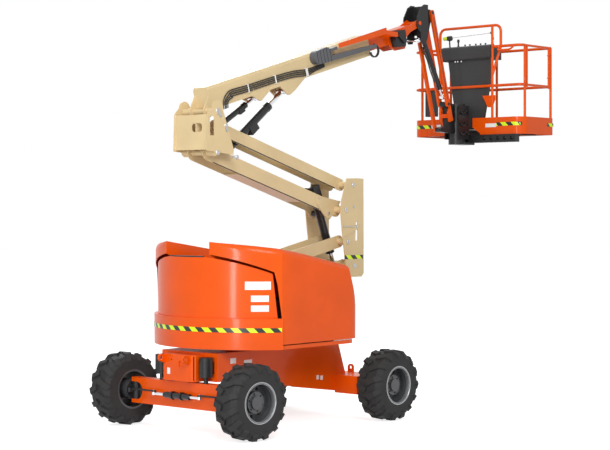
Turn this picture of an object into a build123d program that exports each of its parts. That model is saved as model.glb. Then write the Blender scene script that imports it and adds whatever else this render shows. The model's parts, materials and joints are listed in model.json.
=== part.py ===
"""Articulating boom lift, wheeled, with a two-link tower, telescoping main boom, jib and platform.

Millimetres.  +Z is up, +X runs from the tail towards the platform, -Y is the near side.
The origin is on the ground under the swing axis of the turntable.
"""

from build123d import *
from math import atan2, cos, degrees, hypot, radians, sin
import os

os.makedirs("parts", exist_ok=True)

# ---------------------------------------------------------------- driving sizes
RUN_FIT = 0.1            # radial clearance of a pin that turns in its bore
OPEN_FIT = 0.6           # radial clearance at a pivot where a closed linkage is opened
SEAT_GAP = 0.3           # gap between a piece and its seat on another body
SIDE_GAP = 6.0           # side clearance between moving plates

# wheels
WHEEL_R = 420.0
TYRE_W = 360.0
TYRE_SHOULDER = 46.0     # how far the tread edge rounds off
TREAD_DEPTH = 30.0
LUGS = 15                # on each half of the tread
LUG_W = 62.0
LUG_SLANT = 24.0
LUG_DROP = 64.0          # how far down the sidewall they reach
TREAD_SIDES = 30
RIM_R = 214.0            # bead seat
RIM_WALL = 9.0
RIM_LIP = 14.0
LIP_INSET = 24.0         # from the tyre's widest to the inner face of the lip
LIP_T = 8.0
HUB_R = 118.0
WHEELBASE = 2340.0
TRACK = 2050.0
STEER_REST = -4.9        # the steered wheels stand turned by this much
STEER_X = -WHEELBASE / 2
DRIVE_X = WHEELBASE / 2

# steering
KINGPIN_Y = 800.0
KINGPIN_R = 24.0
YOKE_HALF_X = 62.0
YOKE_LOW = 278.0
YOKE_HIGH = 568.0
YOKE_END = 48.0          # from the kingpin to the yoke's outer face
YOKE_CUT = 28.0          # scallop at its corners
YOKE_GAP_R = 100.0       # half height of the yoke's mouth
KNUCKLE_R = 56.0
SPINDLE_R = 88.0
HUB_INNER = -150.0       # inner face of the hub, from the middle of the wheel
STEER_ARM = 128.0        # kingpin to tie pin, along -X
STEER_ARM_IN = 30.0      # and towards the middle of the machine
STEER_CYL_Z = 418.0
STEER_CYL_HALF = 200.0
STEER_CYL_R = 34.0
STEER_ROD_R = 17.0
STEER_ROD_HALF = 365.0
TIE_PIN_R = 11.0
LOCK_CYL_R = 76.0
LOCK_CYL_X = -1196.0
LOCK_CYL_Y = 352.0

# chassis
FRAME_HALF_W = 440.0
FRAME_WALL = 12.0
FRAME_TOP = 900.0
FRAME_FRONT = -1110.0
FRAME_REAR = 1085.0      # foot of the sloping rear edge
NOSE_FRONT = -1300.0
NOSE_HALF_W = 258.0
NOSE_LOW = 585.0
NOSE_HOLES = (           # middle y, z, width, height
    (-65.0, 776.0, 78.0, 70.0), (86.0, 820.0, 20.0, 20.0), (-212.0, 824.0, 20.0, 20.0),
)
FRAME_REAR_TOP = 950.0
FRAME_STEP_Z = 520.0
FRAME_TAIL = 1300.0
DRIVE_BOX_X0 = 887.0
DRIVE_BOX_LOW = 305.0
DRIVE_BOX_OUT = 790.0
RING_R = 380.0
RING_TOP = 940.0
TIE_HOLE_R = 22.0        # lashing and lifting eyes at the four corners
TIE_LUG_R = 42.0
TIE_LUG_T = 24.0
NOSE_EYE = (-1364.0, 838.0, 180.0)      # x, z, inner face
TAIL_EYE = (1270.0, 572.0, 360.0)       # inner face x, z, middle y

# turntable
DECK_T = 42.0
DECK_LOW = RING_TOP + 5.0
DECK_TOP = DECK_LOW + DECK_T
DECK_FRONT = 660.0
DECK_HALF_W = 985.0
TAIL_R = 1200.0          # counterweight
COVER_R = 1186.0         # rear sweep of the side covers
SEAM_X = -650.0
WEIGHT_TOP = 1290.0
PANEL_SHIFT = 83.5       # the rear panel's arc is centred this far behind the swing axis
PANEL_R = 1096.5
PANEL_T = 11.0
PANEL_TOP = 1968.0
PANEL_SHOULDER = (-1143.0, -705.0, 1785.0)   # where its top edge starts to fall, ends, and how low
PANEL_FOOT_X = -658.0
CHEEK_IN = 314.0         # half width of the well between the cheek plates
CHEEK_T = 16.0
COVER_IN = 340.0
COVER_OUT = 1000.0
COVER_T = 8.0
COVER_LOW = 1000.0
COVER_INNER_LOW = 1640.0 # the inner wall hangs no lower than this, so the cover swings over the engine
COVER_CORNER = 150.0     # plan corner at the front
COVER_ROUND = 60.0       # roof edge
COVER_SIDE = (           # side outline (x, z) from the seam over the tail and forward
    (-650.0, 1000.0), (-650.0, 1292.0), (-705.0, 1797.0), (-1160.0, 2008.0), (-1200.0, 2030.0),
    (-1200.0, 2146.0), (-362.0, 2022.0), (504.0, 1852.0), (700.0, 1300.0), (640.0, 1000.0),
)
DECK_CORNER = 150.0
PEDESTAL_IN = 160.0      # half gap of the plates that carry the tower pins
PEDESTAL_T = 20.0
CHEEK_TOP = 1780.0

# tower and mid linkages: pins as (x, z) in the mid plane
TOWER_PIN = (-600.0, 1380.0)
TOWER_LEN = 2076.0
TOWER_ANGLE = 11.7
TOWER_LINK_OFF = (-124.0, 298.0)
UPRIGHT_RISE = (-160.0, 685.0)
MID_LEN = 2297.3
MID_ANGLE = 16.38
MID_LINK_OFF = (131.0, 306.0)
RISER_BOOM_OFF = (3.0, 466.0)
LIFT_BASE_OFF = (311.0, -47.0)
LEVEL_BASE_OFF = (231.0, 277.0)

TOWER_PIN_R = 30.0
TOWER_HALF_W = 125.0
TOWER_DEPTH = 165.0
TOWER_LINK_IN = 136.0
TOWER_LINK_T = 12.0
TOWER_LINK_DEPTH = 150.0
MID_HALF_W = 125.0
MID_DEPTH = 172.0
MID_TOP_OPEN = 960.0     # length of its top left open over the lift cylinder
MID_LINK_HALF_W = 92.0
MID_LINK_DEPTH = 146.0
MID_LINK_FORK = 1340.0   # length of the link left open for the lift cylinder
BEAM_WALL = 10.0
BOSS_WALL = 14.0

UPRIGHT_IN = 275.0
UPRIGHT_T = 15.0
RISER_IN = 258.0
RISER_T = 12.0
RISER_REAR = -1070.0
LUG_IN = 60.0
LUG_T = 16.0

# main boom, in its own frame: s along the boom from its pivot, t up
BOOM_ANGLE = 15.9
BOOM_HALF_W = 120.0
BOOM_LOW = 4.0
BOOM_HIGH = 266.0
BOOM_EDGE = 32.0         # slope of its top corners
BOOM_REAR = 62.0
BOOM_FRONT = 3000.0
BOOM_WALL = 9.0
BOOM_LUG_T = 20.0
BOOM_PIN_R = 34.0
LIFT_EYE = (1388.0, -84.0)
LEVEL_EYE = (884.0, -50.0)
FLY_HALF_W = 86.0
FLY_LOW = 52.0
FLY_HIGH = 208.0
FLY_REAR = 480.0
FLY_FRONT = 3930.0
FLY_WALL = 8.0
NOSE_PIN = (4104.0, 198.0)
NOSE_T = 12.0

# jib, pins as (x, z)
JIB_TOP_PIN = (3286.0, 5080.0)
JIB_LOW_OFF = (-104.0, -344.0)
JIB_LEN = 1240.0
JIB_ANGLE = -73.45
JIB_BAR_IN = 52.0
JIB_BAR_T = 30.0
JIB_BAR_D = 74.0
JIB_PIN_R = 20.0
SLAVE_EYE = (3052.0, 4702.0)
JIB_CYL_REACH = 1140.0
JIB_PLATE_IN = 104.0
JIB_PLATE_T = 14.0

# platform
ROTATOR_X = 3930.0
ROTATOR_R = 112.0
ROTATOR_LOW = 3392.0
ROTATOR_HIGH = 3905.0
PLAT_X0 = 4135.0
PLAT_X1 = 4896.0
PLAT_HALF_L = 915.0
PLAT_CORNER = 150.0      # on the side of the rotator
PLAT_OUTER_CORNER = 40.0
FLOOR_LOW = 3492.0
FLOOR_T = 6.0
FLOOR_Z = 3576.0
DECK_PAD = (4470.0, 4836.0, 830.0)      # tread plate: x0, x1, half length
DECK_PAD_T = 3.0
TOE_TOP = 3722.0
TOE_T = 5.0
RAIL_R = 19.0
RAIL_Z = 4672.0
MID_RAIL_Z = 4148.0
HIGH_RAIL_Z = 4958.0
RAIL_BEND = 90.0
POST_R = 17.5
RAIL_X0 = 4160.5         # lines of the posts
RAIL_X1 = 4866.0
RAIL_Y = 884.0
GATE_X0 = 4250.0         # latch post of the gate
HOOP_Y0 = 450.0
HOOP_Y1 = -421.0


# ---------------------------------------------------------------- geometry helpers
def polar(length, angle):
    """Vector (x, z) of a length at an angle from +X towards +Z."""
    return (length * cos(radians(angle)), length * sin(radians(angle)))


def plus(a, b):
    """Sum of two (x, z) pairs."""
    return (a[0] + b[0], a[1] + b[1])


def span(a, b):
    """Distance and angle from pin a to pin b."""
    dx, dz = b[0] - a[0], b[1] - a[1]
    return hypot(dx, dz), degrees(atan2(dz, dx))


def side_plane(pin, angle=0.0, y=0.0):
    """Upright plane through a pin: local x along the member, local y up, normal to the near side."""
    along = (cos(radians(angle)), 0, sin(radians(angle)))
    return Plane(origin=(pin[0], y, pin[1]), x_dir=along, z_dir=(0, -1, 0))


TOWER_END = plus(TOWER_PIN, polar(TOWER_LEN, TOWER_ANGLE))
LINK_PIN = plus(TOWER_PIN, TOWER_LINK_OFF)
LINK_END = plus(TOWER_END, TOWER_LINK_OFF)
MID_PIN = plus(TOWER_END, UPRIGHT_RISE)
MID_LINK_PIN = plus(MID_PIN, MID_LINK_OFF)
MID_END = plus(MID_PIN, polar(MID_LEN, 180 - MID_ANGLE))
MID_LINK_END = plus(MID_END, MID_LINK_OFF)
BOOM_PIN = plus(MID_END, RISER_BOOM_OFF)
LIFT_BASE = plus(MID_END, LIFT_BASE_OFF)
LEVEL_BASE = plus(MID_END, LEVEL_BASE_OFF)


def on_boom(s, t):
    """Point (x, z) at s along and t above the main boom's pivot line."""
    return plus(plus(BOOM_PIN, polar(s, BOOM_ANGLE)), polar(t, BOOM_ANGLE + 90))


LIFT_TIP = on_boom(*LIFT_EYE)
LEVEL_TIP = on_boom(*LEVEL_EYE)
NOSE_PIVOT = on_boom(*NOSE_PIN)
JIB_LOW_PIN = plus(JIB_TOP_PIN, JIB_LOW_OFF)
JIB_TOP_END = plus(JIB_TOP_PIN, polar(JIB_LEN, JIB_ANGLE))
JIB_LOW_END = plus(JIB_LOW_PIN, polar(JIB_LEN, JIB_ANGLE))
JIB_CYL_END = plus(JIB_TOP_PIN, polar(JIB_CYL_REACH, JIB_ANGLE))


def save(part, name):
    """Label a finished piece and write it as its own STEP file."""
    part.label = name
    export_step(part, f"parts/{name}.step")


def bar(low, high, s0, s1):
    """Rectangle from s0 to s1 and low to high in the current sketch."""
    with Locations(((s0 + s1) / 2, (low + high) / 2)):
        Rectangle(s1 - s0, high - low)


def on_y(y):
    """Side plane through the origin of the machine at a given y."""
    return side_plane((0, 0), 0, y)


def disc(at, r, mode=Mode.ADD):
    """Circle at a point of the current sketch."""
    with Locations(at):
        Circle(r, mode=mode)


def web(*rounds):
    """Rounded plate outline: the hull of circles given as (u, v, r)."""
    for u, v, r in rounds:
        disc((u, v), r)
    make_hull()


def both_sides(frame, inner, outer, draw, mode=Mode.ADD):
    """Extrude one outline between two distances from the mid plane, near and far."""
    for side in (1, -1):
        with BuildSketch(frame.offset(side * inner)) as outline:
            draw()
        extrude(outline.sketch, amount=side * (outer - inner), mode=mode)


def across(frame, half, draw, mode=Mode.ADD):
    """Extrude one outline symmetrically about the mid plane."""
    with BuildSketch(frame) as outline:
        draw()
    extrude(outline.sketch, amount=half, both=True, mode=mode)


def box_beam(frame, half_w, low, high, s0, s1, wall):
    """Hollow rectangular beam, open at both ends."""
    across(frame, half_w, lambda: bar(low, high, s0, s1))
    across(frame, half_w - wall, lambda: bar(low + wall, high - wall, s0 - 1, s1 + 1), Mode.SUBTRACT)


def eye_bores(frame, half, eyes, clearance=RUN_FIT):
    """Bores for pins given as (u, v, pin radius)."""
    for u, v, r in eyes:
        across(frame, half, lambda: disc((u, v), r + clearance), Mode.SUBTRACT)



# ---------------------------------------------------------------- wheels
def turned(dx, dy, angle):
    """Rotate a plan vector by an angle about +Z."""
    c, s = cos(radians(angle)), sin(radians(angle))
    return (c * dx - s * dy, s * dx + c * dy)


def wheel_plane(x, side, steer):
    """Section plane of a wheel: local x outwards along the axle, local y up."""
    king = side * KINGPIN_Y
    out = turned(0, side, steer)
    reach = TRACK / 2 - KINGPIN_Y
    centre = (x + reach * out[0], king + reach * out[1], WHEEL_R)
    return Plane(origin=centre, x_dir=(*out, 0), z_dir=(out[1], -out[0], 0))


def make_tyre(plane):
    """Solid tyre: a many-sided body with two rows of slanted lugs that reach over the shoulders."""
    half = TYRE_W / 2
    body_half = half - 14
    body_r = (WHEEL_R - TREAD_DEPTH) / cos(radians(180 / TREAD_SIDES))
    pitch = 360 / LUGS
    foot = WHEEL_R - TREAD_DEPTH - 14
    wall = Plane(origin=plane.origin, x_dir=plane.y_dir, z_dir=plane.x_dir)
    with BuildPart() as tyre:
        with BuildSketch(wall.offset(-body_half)):
            RegularPolygon(body_r, TREAD_SIDES)
        extrude(amount=2 * body_half)
        rim_edges = [e for e in edges() if abs(wall.to_local_coords(e.center()).Z) > body_half - 1]
        chamfer(rim_edges, TYRE_SHOULDER)
        for side in (1, -1):
            for count in range(LUGS):
                turn = (count + (side + 1) / 4) * pitch
                radial = plane.y_dir.rotate(Axis((0, 0, 0), plane.x_dir), turn)
                out = plane.x_dir.rotate(Axis((0, 0, 0), radial), side * LUG_SLANT) * side
                with BuildSketch(Plane(origin=plane.origin, x_dir=out, z_dir=out.cross(radial))):
                    Polygon(
                        (12, foot), (12, WHEEL_R - 2), (half - TYRE_SHOULDER, WHEEL_R - 9),
                        (half + 8, WHEEL_R - LUG_DROP), (half + 8, foot - LUG_DROP + 10),
                        (half - 50, foot - LUG_DROP + 10), align=None)
                extrude(amount=LUG_W / 2, both=True)
        with BuildSketch(wall):
            Circle(RIM_R + SEAT_GAP)
        extrude(amount=half, both=True, mode=Mode.SUBTRACT)
        for side in (1, -1):
            with BuildSketch(wall.offset(side * (half - LIP_INSET))):
                Circle(RIM_R + RIM_LIP + SEAT_GAP)
            extrude(amount=side * LIP_INSET, mode=Mode.SUBTRACT)
    return tyre.part


def make_rim(plane):
    """Rim barrel with lips, dished disc and the hub that carries it, as one turning."""
    half = TYRE_W / 2
    with BuildPart() as rim:
        with BuildSketch(plane):
            bar(RIM_R - RIM_WALL, RIM_R, LIP_INSET - LIP_T - half, half - LIP_INSET + LIP_T)
            for lip in (-half + LIP_INSET - LIP_T, half - LIP_INSET + SEAT_GAP):
                bar(RIM_R - RIM_WALL, RIM_R + RIM_LIP, lip, lip + LIP_T - SEAT_GAP)
            bar(HUB_R - 1, RIM_R - RIM_WALL + 1, 18, 30)
            bar(0, HUB_R, HUB_INNER + SEAT_GAP, 88)
            bar(0, HUB_R - 44, 87, 112)
        revolve(axis=Axis(plane.origin, plane.x_dir))
    return rim.part


# name, axle place along X, side (+1 far, -1 near), rest steer angle
WHEELS = (
    ("front_far", STEER_X, 1, STEER_REST),
    ("front_near", STEER_X, -1, STEER_REST),
    ("rear_far", DRIVE_X, 1, 0.0),
    ("rear_near", DRIVE_X, -1, 0.0),
)
for wheel_name, wheel_x, wheel_side, wheel_steer in WHEELS:
    place = wheel_plane(wheel_x, wheel_side, wheel_steer)
    save(make_tyre(place), f"tyre_{wheel_name}")
    save(make_rim(place), f"rim_{wheel_name}")


# ---------------------------------------------------------------- steering
def make_knuckle(side):
    """Knuckle with its kingpin, spindle flange and steering arm."""
    king = (STEER_X, side * KINGPIN_Y)
    out = turned(0, side, STEER_REST)
    tip = turned(-STEER_ARM, -side * STEER_ARM_IN, STEER_REST)
    spindle = TRACK / 2 - KINGPIN_Y + HUB_INNER
    low, high = WHEEL_R - YOKE_GAP_R + SEAT_GAP, WHEEL_R + YOKE_GAP_R - SEAT_GAP
    axle = Plane(origin=(*king, WHEEL_R), x_dir=(0, 0, 1), z_dir=(*out, 0))
    with BuildPart() as knuckle:
        with BuildSketch(Plane.XY.offset(low)):
            with Locations(king):
                Circle(KNUCKLE_R)
        extrude(amount=high - low)
        with BuildSketch(Plane.XY.offset(YOKE_LOW + 4)):
            with Locations(king):
                Circle(KINGPIN_R)
        extrude(amount=YOKE_HIGH - YOKE_LOW - 8)
        with BuildSketch(axle):
            Circle(SPINDLE_R)
        extrude(amount=spindle)
        with BuildSketch(Plane.XY.offset(STEER_CYL_Z - 10)):
            with BuildLine():
                Line(king, (king[0] + tip[0], king[1] + tip[1]))
            trace(line_width=46)
            with Locations((king[0] + tip[0], king[1] + tip[1])):
                Circle(26)
        extrude(amount=27.5)
    return knuckle.part


def make_tie_link(side):
    """Flat tie link from the steering rod's end to above the knuckle's arm."""
    tip = turned(-STEER_ARM, -side * STEER_ARM_IN, STEER_REST)
    eye = (STEER_X + tip[0], side * KINGPIN_Y + tip[1])
    ball = (STEER_X - STEER_ARM, side * STEER_ROD_HALF + ROD_SHIFT)
    with BuildPart() as link:
        with BuildSketch(Plane.XY.offset(STEER_CYL_Z + 18 + SEAT_GAP)):
            with BuildLine():
                Line(ball, eye)
            trace(line_width=24)
            with Locations(ball, eye):
                Circle(25)
            with Locations(ball):
                Circle(TIE_PIN_R + RUN_FIT, mode=Mode.SUBTRACT)
        extrude(amount=18)
    return link.part


ROD_SHIFT = turned(-STEER_ARM, 0, STEER_REST)[1]
for side_name, side in (("far", 1), ("near", -1)):
    save(make_knuckle(side), f"knuckle_{side_name}")
    save(make_tie_link(side), f"tie_link_{side_name}")

STEER_CYL_X = STEER_X - STEER_ARM
with BuildPart() as steer_barrel:
    with BuildSketch(Plane.XZ):
        with Locations((STEER_CYL_X, STEER_CYL_Z)):
            Circle(STEER_CYL_R)
    extrude(amount=STEER_CYL_HALF, both=True)
    for clamp_y in (-70, 70):
        with BuildSketch(Plane.XZ.offset(clamp_y)):
            with Locations((STEER_CYL_X, STEER_CYL_Z)):
                Circle(STEER_CYL_R + 12)
            with Locations(((STEER_CYL_X + STEER_X - YOKE_HALF_X) / 2, STEER_CYL_Z)):
                Rectangle(STEER_ARM - YOKE_HALF_X - 2 * SEAT_GAP, 60)
        extrude(amount=14, both=True)
    with BuildSketch(Plane.XZ.offset(-STEER_CYL_HALF)):
        with Locations((STEER_CYL_X, STEER_CYL_Z)):
            Circle(STEER_ROD_R + RUN_FIT)
    extrude(amount=2 * STEER_CYL_HALF, mode=Mode.SUBTRACT)
save(steer_barrel.part, "steer_barrel")

with BuildPart() as steer_rod:
    with BuildSketch(Plane.XZ.offset(-STEER_ROD_HALF - ROD_SHIFT)):
        with Locations((STEER_CYL_X, STEER_CYL_Z)):
            Circle(STEER_ROD_R)
    extrude(amount=2 * STEER_ROD_HALF)
    for end_y in (-STEER_ROD_HALF, STEER_ROD_HALF):
        with BuildSketch(Plane.XY.offset(STEER_CYL_Z - 16)):
            with Locations((STEER_CYL_X, end_y + ROD_SHIFT)):
                Circle(26)
        extrude(amount=30)
        with BuildSketch(Plane.XY.offset(STEER_CYL_Z)):
            with Locations((STEER_CYL_X, end_y + ROD_SHIFT)):
                Circle(TIE_PIN_R)
        extrude(amount=40)
save(steer_rod.part, "steer_rod")


# ---------------------------------------------------------------- chassis
with BuildPart() as front_axle:
    with BuildSketch(Plane(origin=(STEER_X, 0, 0), x_dir=(0, 1, 0), z_dir=(1, 0, 0))):
        bar(YOKE_LOW, YOKE_HIGH, -KINGPIN_Y - YOKE_END, KINGPIN_Y + YOKE_END)
        bar(YOKE_HIGH - 1, NOSE_LOW - SEAT_GAP, -95, 95)
        for side in (-1, 1):
            mouth = side * (KINGPIN_Y - 62)
            with Locations((mouth, WHEEL_R)):
                Circle(YOKE_GAP_R, mode=Mode.SUBTRACT)
            with Locations((mouth + side * 75, WHEEL_R)):
                Rectangle(150, 2 * YOKE_GAP_R, mode=Mode.SUBTRACT)
    extrude(amount=YOKE_HALF_X, both=True)
    corners = [(STEER_X + sx * YOKE_HALF_X, sy * (KINGPIN_Y + YOKE_END)) for sx in (1, -1) for sy in (1, -1)]
    with BuildSketch(Plane.XY.offset(YOKE_LOW - 1)):
        with Locations(*corners):
            Circle(YOKE_CUT)
    extrude(amount=YOKE_HIGH - YOKE_LOW + 2, mode=Mode.SUBTRACT)
    with BuildSketch(Plane.XY.offset(YOKE_LOW)):
        with Locations((STEER_X, -KINGPIN_Y), (STEER_X, KINGPIN_Y)):
            Circle(KINGPIN_R + RUN_FIT)
    extrude(amount=YOKE_HIGH - YOKE_LOW, mode=Mode.SUBTRACT)
save(front_axle.part, "front_axle")

for side_name, side in (("far", 1), ("near", -1)):
    with BuildPart() as lock_cylinder:
        with BuildSketch(Plane.XY.offset(640)):
            disc((LOCK_CYL_X, side * LOCK_CYL_Y), LOCK_CYL_R)
        extrude(amount=218)
        with BuildSketch(Plane.XY.offset(YOKE_HIGH + SEAT_GAP)):
            disc((LOCK_CYL_X, side * LOCK_CYL_Y), 26)
        extrude(amount=80)
        with BuildSketch(Plane.XY.offset(680)):
            with Locations(((LOCK_CYL_X + FRAME_FRONT) / 2, side * LOCK_CYL_Y)):
                Rectangle(FRAME_FRONT - LOCK_CYL_X - 2 * SEAT_GAP, 90)
        extrude(amount=130)
    save(lock_cylinder.part, f"axle_lock_{side_name}")

with BuildPart() as chassis_frame:
    with BuildSketch(Plane.XZ):
        Polygon(
            (FRAME_FRONT, NOSE_LOW), (FRAME_FRONT, FRAME_TOP), (FRAME_REAR_TOP, FRAME_TOP),
            (FRAME_REAR, FRAME_STEP_Z), (FRAME_TAIL, FRAME_STEP_Z), (FRAME_TAIL, 290),
            (860, 332), (140, 432), (-480, NOSE_LOW), align=None,
        )
    extrude(amount=FRAME_HALF_W, both=True)
    with BuildSketch(Plane.XZ):
        Polygon(
            (FRAME_FRONT + FRAME_WALL, 200), (FRAME_FRONT + FRAME_WALL, FRAME_TOP - FRAME_WALL),
            (FRAME_REAR_TOP - FRAME_WALL, FRAME_TOP - FRAME_WALL),
            (FRAME_REAR - FRAME_WALL, FRAME_STEP_Z - FRAME_WALL),
            (FRAME_TAIL - FRAME_WALL, FRAME_STEP_Z - FRAME_WALL), (FRAME_TAIL - FRAME_WALL, 200),
            align=None,
        )
    extrude(amount=FRAME_HALF_W - FRAME_WALL, both=True, mode=Mode.SUBTRACT)
    with BuildSketch(Plane.XY.offset(NOSE_LOW)):
        Polygon(
            (FRAME_FRONT + 1, -NOSE_HALF_W), (NOSE_FRONT + 40, -NOSE_HALF_W),
            (NOSE_FRONT, -NOSE_HALF_W + 40), (NOSE_FRONT, NOSE_HALF_W - 40),
            (NOSE_FRONT + 40, NOSE_HALF_W), (FRAME_FRONT + 1, NOSE_HALF_W), align=None,
        )
    extrude(amount=FRAME_TOP - 20 - NOSE_LOW)
    with BuildSketch(Plane.XY.offset(NOSE_LOW - 100)):
        with Locations(((NOSE_FRONT + FRAME_FRONT) / 2 + 8, 0)):
            Rectangle(FRAME_FRONT - NOSE_FRONT - 2 * FRAME_WALL, 2 * NOSE_HALF_W - 2 * FRAME_WALL)
    extrude(amount=FRAME_TOP - NOSE_LOW + 80 - FRAME_WALL, mode=Mode.SUBTRACT)
    with BuildSketch(Plane.XZ):
        with Locations(((NOSE_FRONT + FRAME_FRONT) / 2, NOSE_LOW + 8)):
            Rectangle(FRAME_FRONT - NOSE_FRONT - 40, 16)
    extrude(amount=NOSE_HALF_W - 5, both=True)
    with BuildSketch(Plane.YZ.offset(NOSE_FRONT - 1)):
        for hole_y, hole_z, hole_w, hole_h in NOSE_HOLES:
            with Locations((hole_y, hole_z)):
                RectangleRounded(hole_w, hole_h, min(hole_w, hole_h) * 0.3)
    extrude(amount=FRAME_WALL + 2, mode=Mode.SUBTRACT)
    eye_x, eye_z, inner = NOSE_EYE
    both_sides(on_y(0), inner, inner + TIE_LUG_T, lambda: web(
        (eye_x, eye_z, TIE_LUG_R), (NOSE_FRONT + 6, eye_z - 60, 6), (NOSE_FRONT + 6, eye_z + 20, 6)))
    across(on_y(0), inner + TIE_LUG_T + 1, lambda: disc((eye_x, eye_z), TIE_HOLE_R), Mode.SUBTRACT)
    eye_x, eye_z, eye_y = TAIL_EYE
    for side in (1, -1):
        with BuildSketch(Plane.YZ.offset(eye_x)):
            with Locations((side * eye_y, eye_z)):
                Circle(TIE_LUG_R)
            with Locations((side * eye_y, (eye_z + FRAME_STEP_Z) / 2 - 4)):
                Rectangle(2 * TIE_LUG_R, eye_z - FRAME_STEP_Z + 8)
            with Locations((side * eye_y, eye_z)):
                Circle(TIE_HOLE_R, mode=Mode.SUBTRACT)
        extrude(amount=TIE_LUG_T)
save(chassis_frame.part, "chassis_frame")

for side_name, side in (("far", 1), ("near", -1)):
    inner = FRAME_HALF_W + SEAT_GAP
    with BuildPart() as axle_box:
        with BuildSketch(Plane.XZ.offset(-side * inner)):
            with Locations(((DRIVE_BOX_X0 + FRAME_TAIL) / 2, (DRIVE_BOX_LOW + FRAME_STEP_Z) / 2)):
                Rectangle(FRAME_TAIL - DRIVE_BOX_X0, FRAME_STEP_Z - DRIVE_BOX_LOW)
        extrude(amount=-side * (DRIVE_BOX_OUT - inner))
        with BuildSketch(Plane.XZ.offset(-side * (DRIVE_BOX_OUT - 1))):
            with Locations((DRIVE_X, WHEEL_R)):
                Circle(SPINDLE_R)
        extrude(amount=-side * (TRACK / 2 + HUB_INNER - DRIVE_BOX_OUT + 1))
    save(axle_box.part, f"rear_axle_{side_name}")


# ---------------------------------------------------------------- turntable
MID = on_y(0)

with BuildPart() as turntable_frame:
    with BuildSketch(Plane.XY.offset(DECK_LOW)):
        Polygon(
            (SEAM_X + SEAT_GAP, -DECK_HALF_W), (DECK_FRONT, -DECK_HALF_W),
            (DECK_FRONT, DECK_HALF_W), (SEAM_X + SEAT_GAP, DECK_HALF_W), align=None,
        )
        fillet(vertices().group_by(Axis.X)[-1], DECK_CORNER)
    extrude(amount=DECK_T)
    with BuildSketch(Plane.XY.offset(FRAME_TOP + SEAT_GAP)):
        Circle(RING_R)
        Circle(RING_R - 90, mode=Mode.SUBTRACT)
    extrude(amount=DECK_LOW - FRAME_TOP - SEAT_GAP)
    both_sides(MID, CHEEK_IN, CHEEK_IN + CHEEK_T, lambda: Polygon(
        (-620, DECK_LOW + 1), (450, DECK_LOW + 1), (450, 1120), (300, 1500), (60, 1720),
        (-300, CHEEK_TOP), (-900, CHEEK_TOP), (-950, 1700), (-950, WEIGHT_TOP + 2),
        (-620, WEIGHT_TOP + 2), align=None))
    both_sides(MID, PEDESTAL_IN, PEDESTAL_IN + PEDESTAL_T, lambda: Polygon(
        (-640, DECK_LOW + 1), (-260, DECK_LOW + 1), (-380, 1260), (-540, 1460), (-660, 1700),
        (-700, 1742), (-750, 1742), (-790, 1700), (-780, 1640), (-690, 1340), (-640, 1310),
        align=None))
    for rib_x in (-620, -300):
        across(MID, CHEEK_IN + 1, lambda: bar(DECK_TOP - 1, 1180, rib_x - 8, rib_x + 8))
    across(MID, PEDESTAL_IN + 1, lambda: disc(TOWER_PIN, TOWER_PIN_R))
    across(MID, PEDESTAL_IN + 1, lambda: disc(LINK_PIN, TOWER_PIN_R))
save(turntable_frame.part, "turntable_frame")

with BuildPart() as counterweight:
    with BuildSketch(Plane.XY.offset(DECK_LOW)):
        Circle(TAIL_R)
        with Locations((SEAM_X + TAIL_R, 0)):
            Rectangle(2 * TAIL_R, 2 * TAIL_R, mode=Mode.SUBTRACT)
    extrude(amount=WEIGHT_TOP - DECK_LOW)
save(counterweight.part, "counterweight")


def panel_outline():
    """Side outline of the tail panel."""
    fall_x, end_x, end_z = PANEL_SHOULDER
    low = WEIGHT_TOP + SEAT_GAP
    Polygon(
        (-TAIL_R, low), (PANEL_FOOT_X, low), (end_x, end_z), (fall_x, PANEL_TOP),
        (-TAIL_R, PANEL_TOP), align=None,
    )


with BuildPart() as tail_panel:
    across(MID, TAIL_R, panel_outline)
    with BuildSketch(Plane.XY.offset(WEIGHT_TOP)):
        with Locations((-PANEL_SHIFT, 0)):
            Circle(PANEL_R)
            Circle(PANEL_R - PANEL_T, mode=Mode.SUBTRACT)
    extrude(amount=PANEL_TOP, mode=Mode.INTERSECT)
save(tail_panel.part, "tail_panel")


def cover_plan(side, inset):
    """Plan outline of a side cover, drawn inwards by an inset."""
    seam_x = (COVER_R**2 - COVER_OUT**2) ** 0.5
    tail_x = (COVER_R**2 - COVER_IN**2) ** 0.5
    with BuildLine() as outline:
        RadiusArc((-tail_x, side * COVER_IN), (-seam_x, side * COVER_OUT), -side * COVER_R)
        Polyline(
            (-seam_x, side * COVER_OUT), (720 - COVER_CORNER, side * COVER_OUT),
            (720, side * (COVER_OUT - COVER_CORNER)), (720, side * COVER_IN),
            (-tail_x, side * COVER_IN),
        )
    make_face(outline.edges())
    if inset:
        offset(amount=-inset, kind=Kind.INTERSECTION, mode=Mode.REPLACE)


def cover_block(side, inset):
    """Solid bounded by a cover's side and plan outlines, both drawn inwards by an inset."""
    with BuildPart() as block:
        with BuildSketch(MID):
            Polygon(*COVER_SIDE, align=None)
            if inset:
                offset(amount=-inset, kind=Kind.INTERSECTION, mode=Mode.REPLACE)
        extrude(amount=TAIL_R, both=True)
        with BuildSketch(Plane.XY):
            cover_plan(side, inset)
        extrude(amount=2 * TAIL_R, mode=Mode.INTERSECT)
    return block.part


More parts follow.
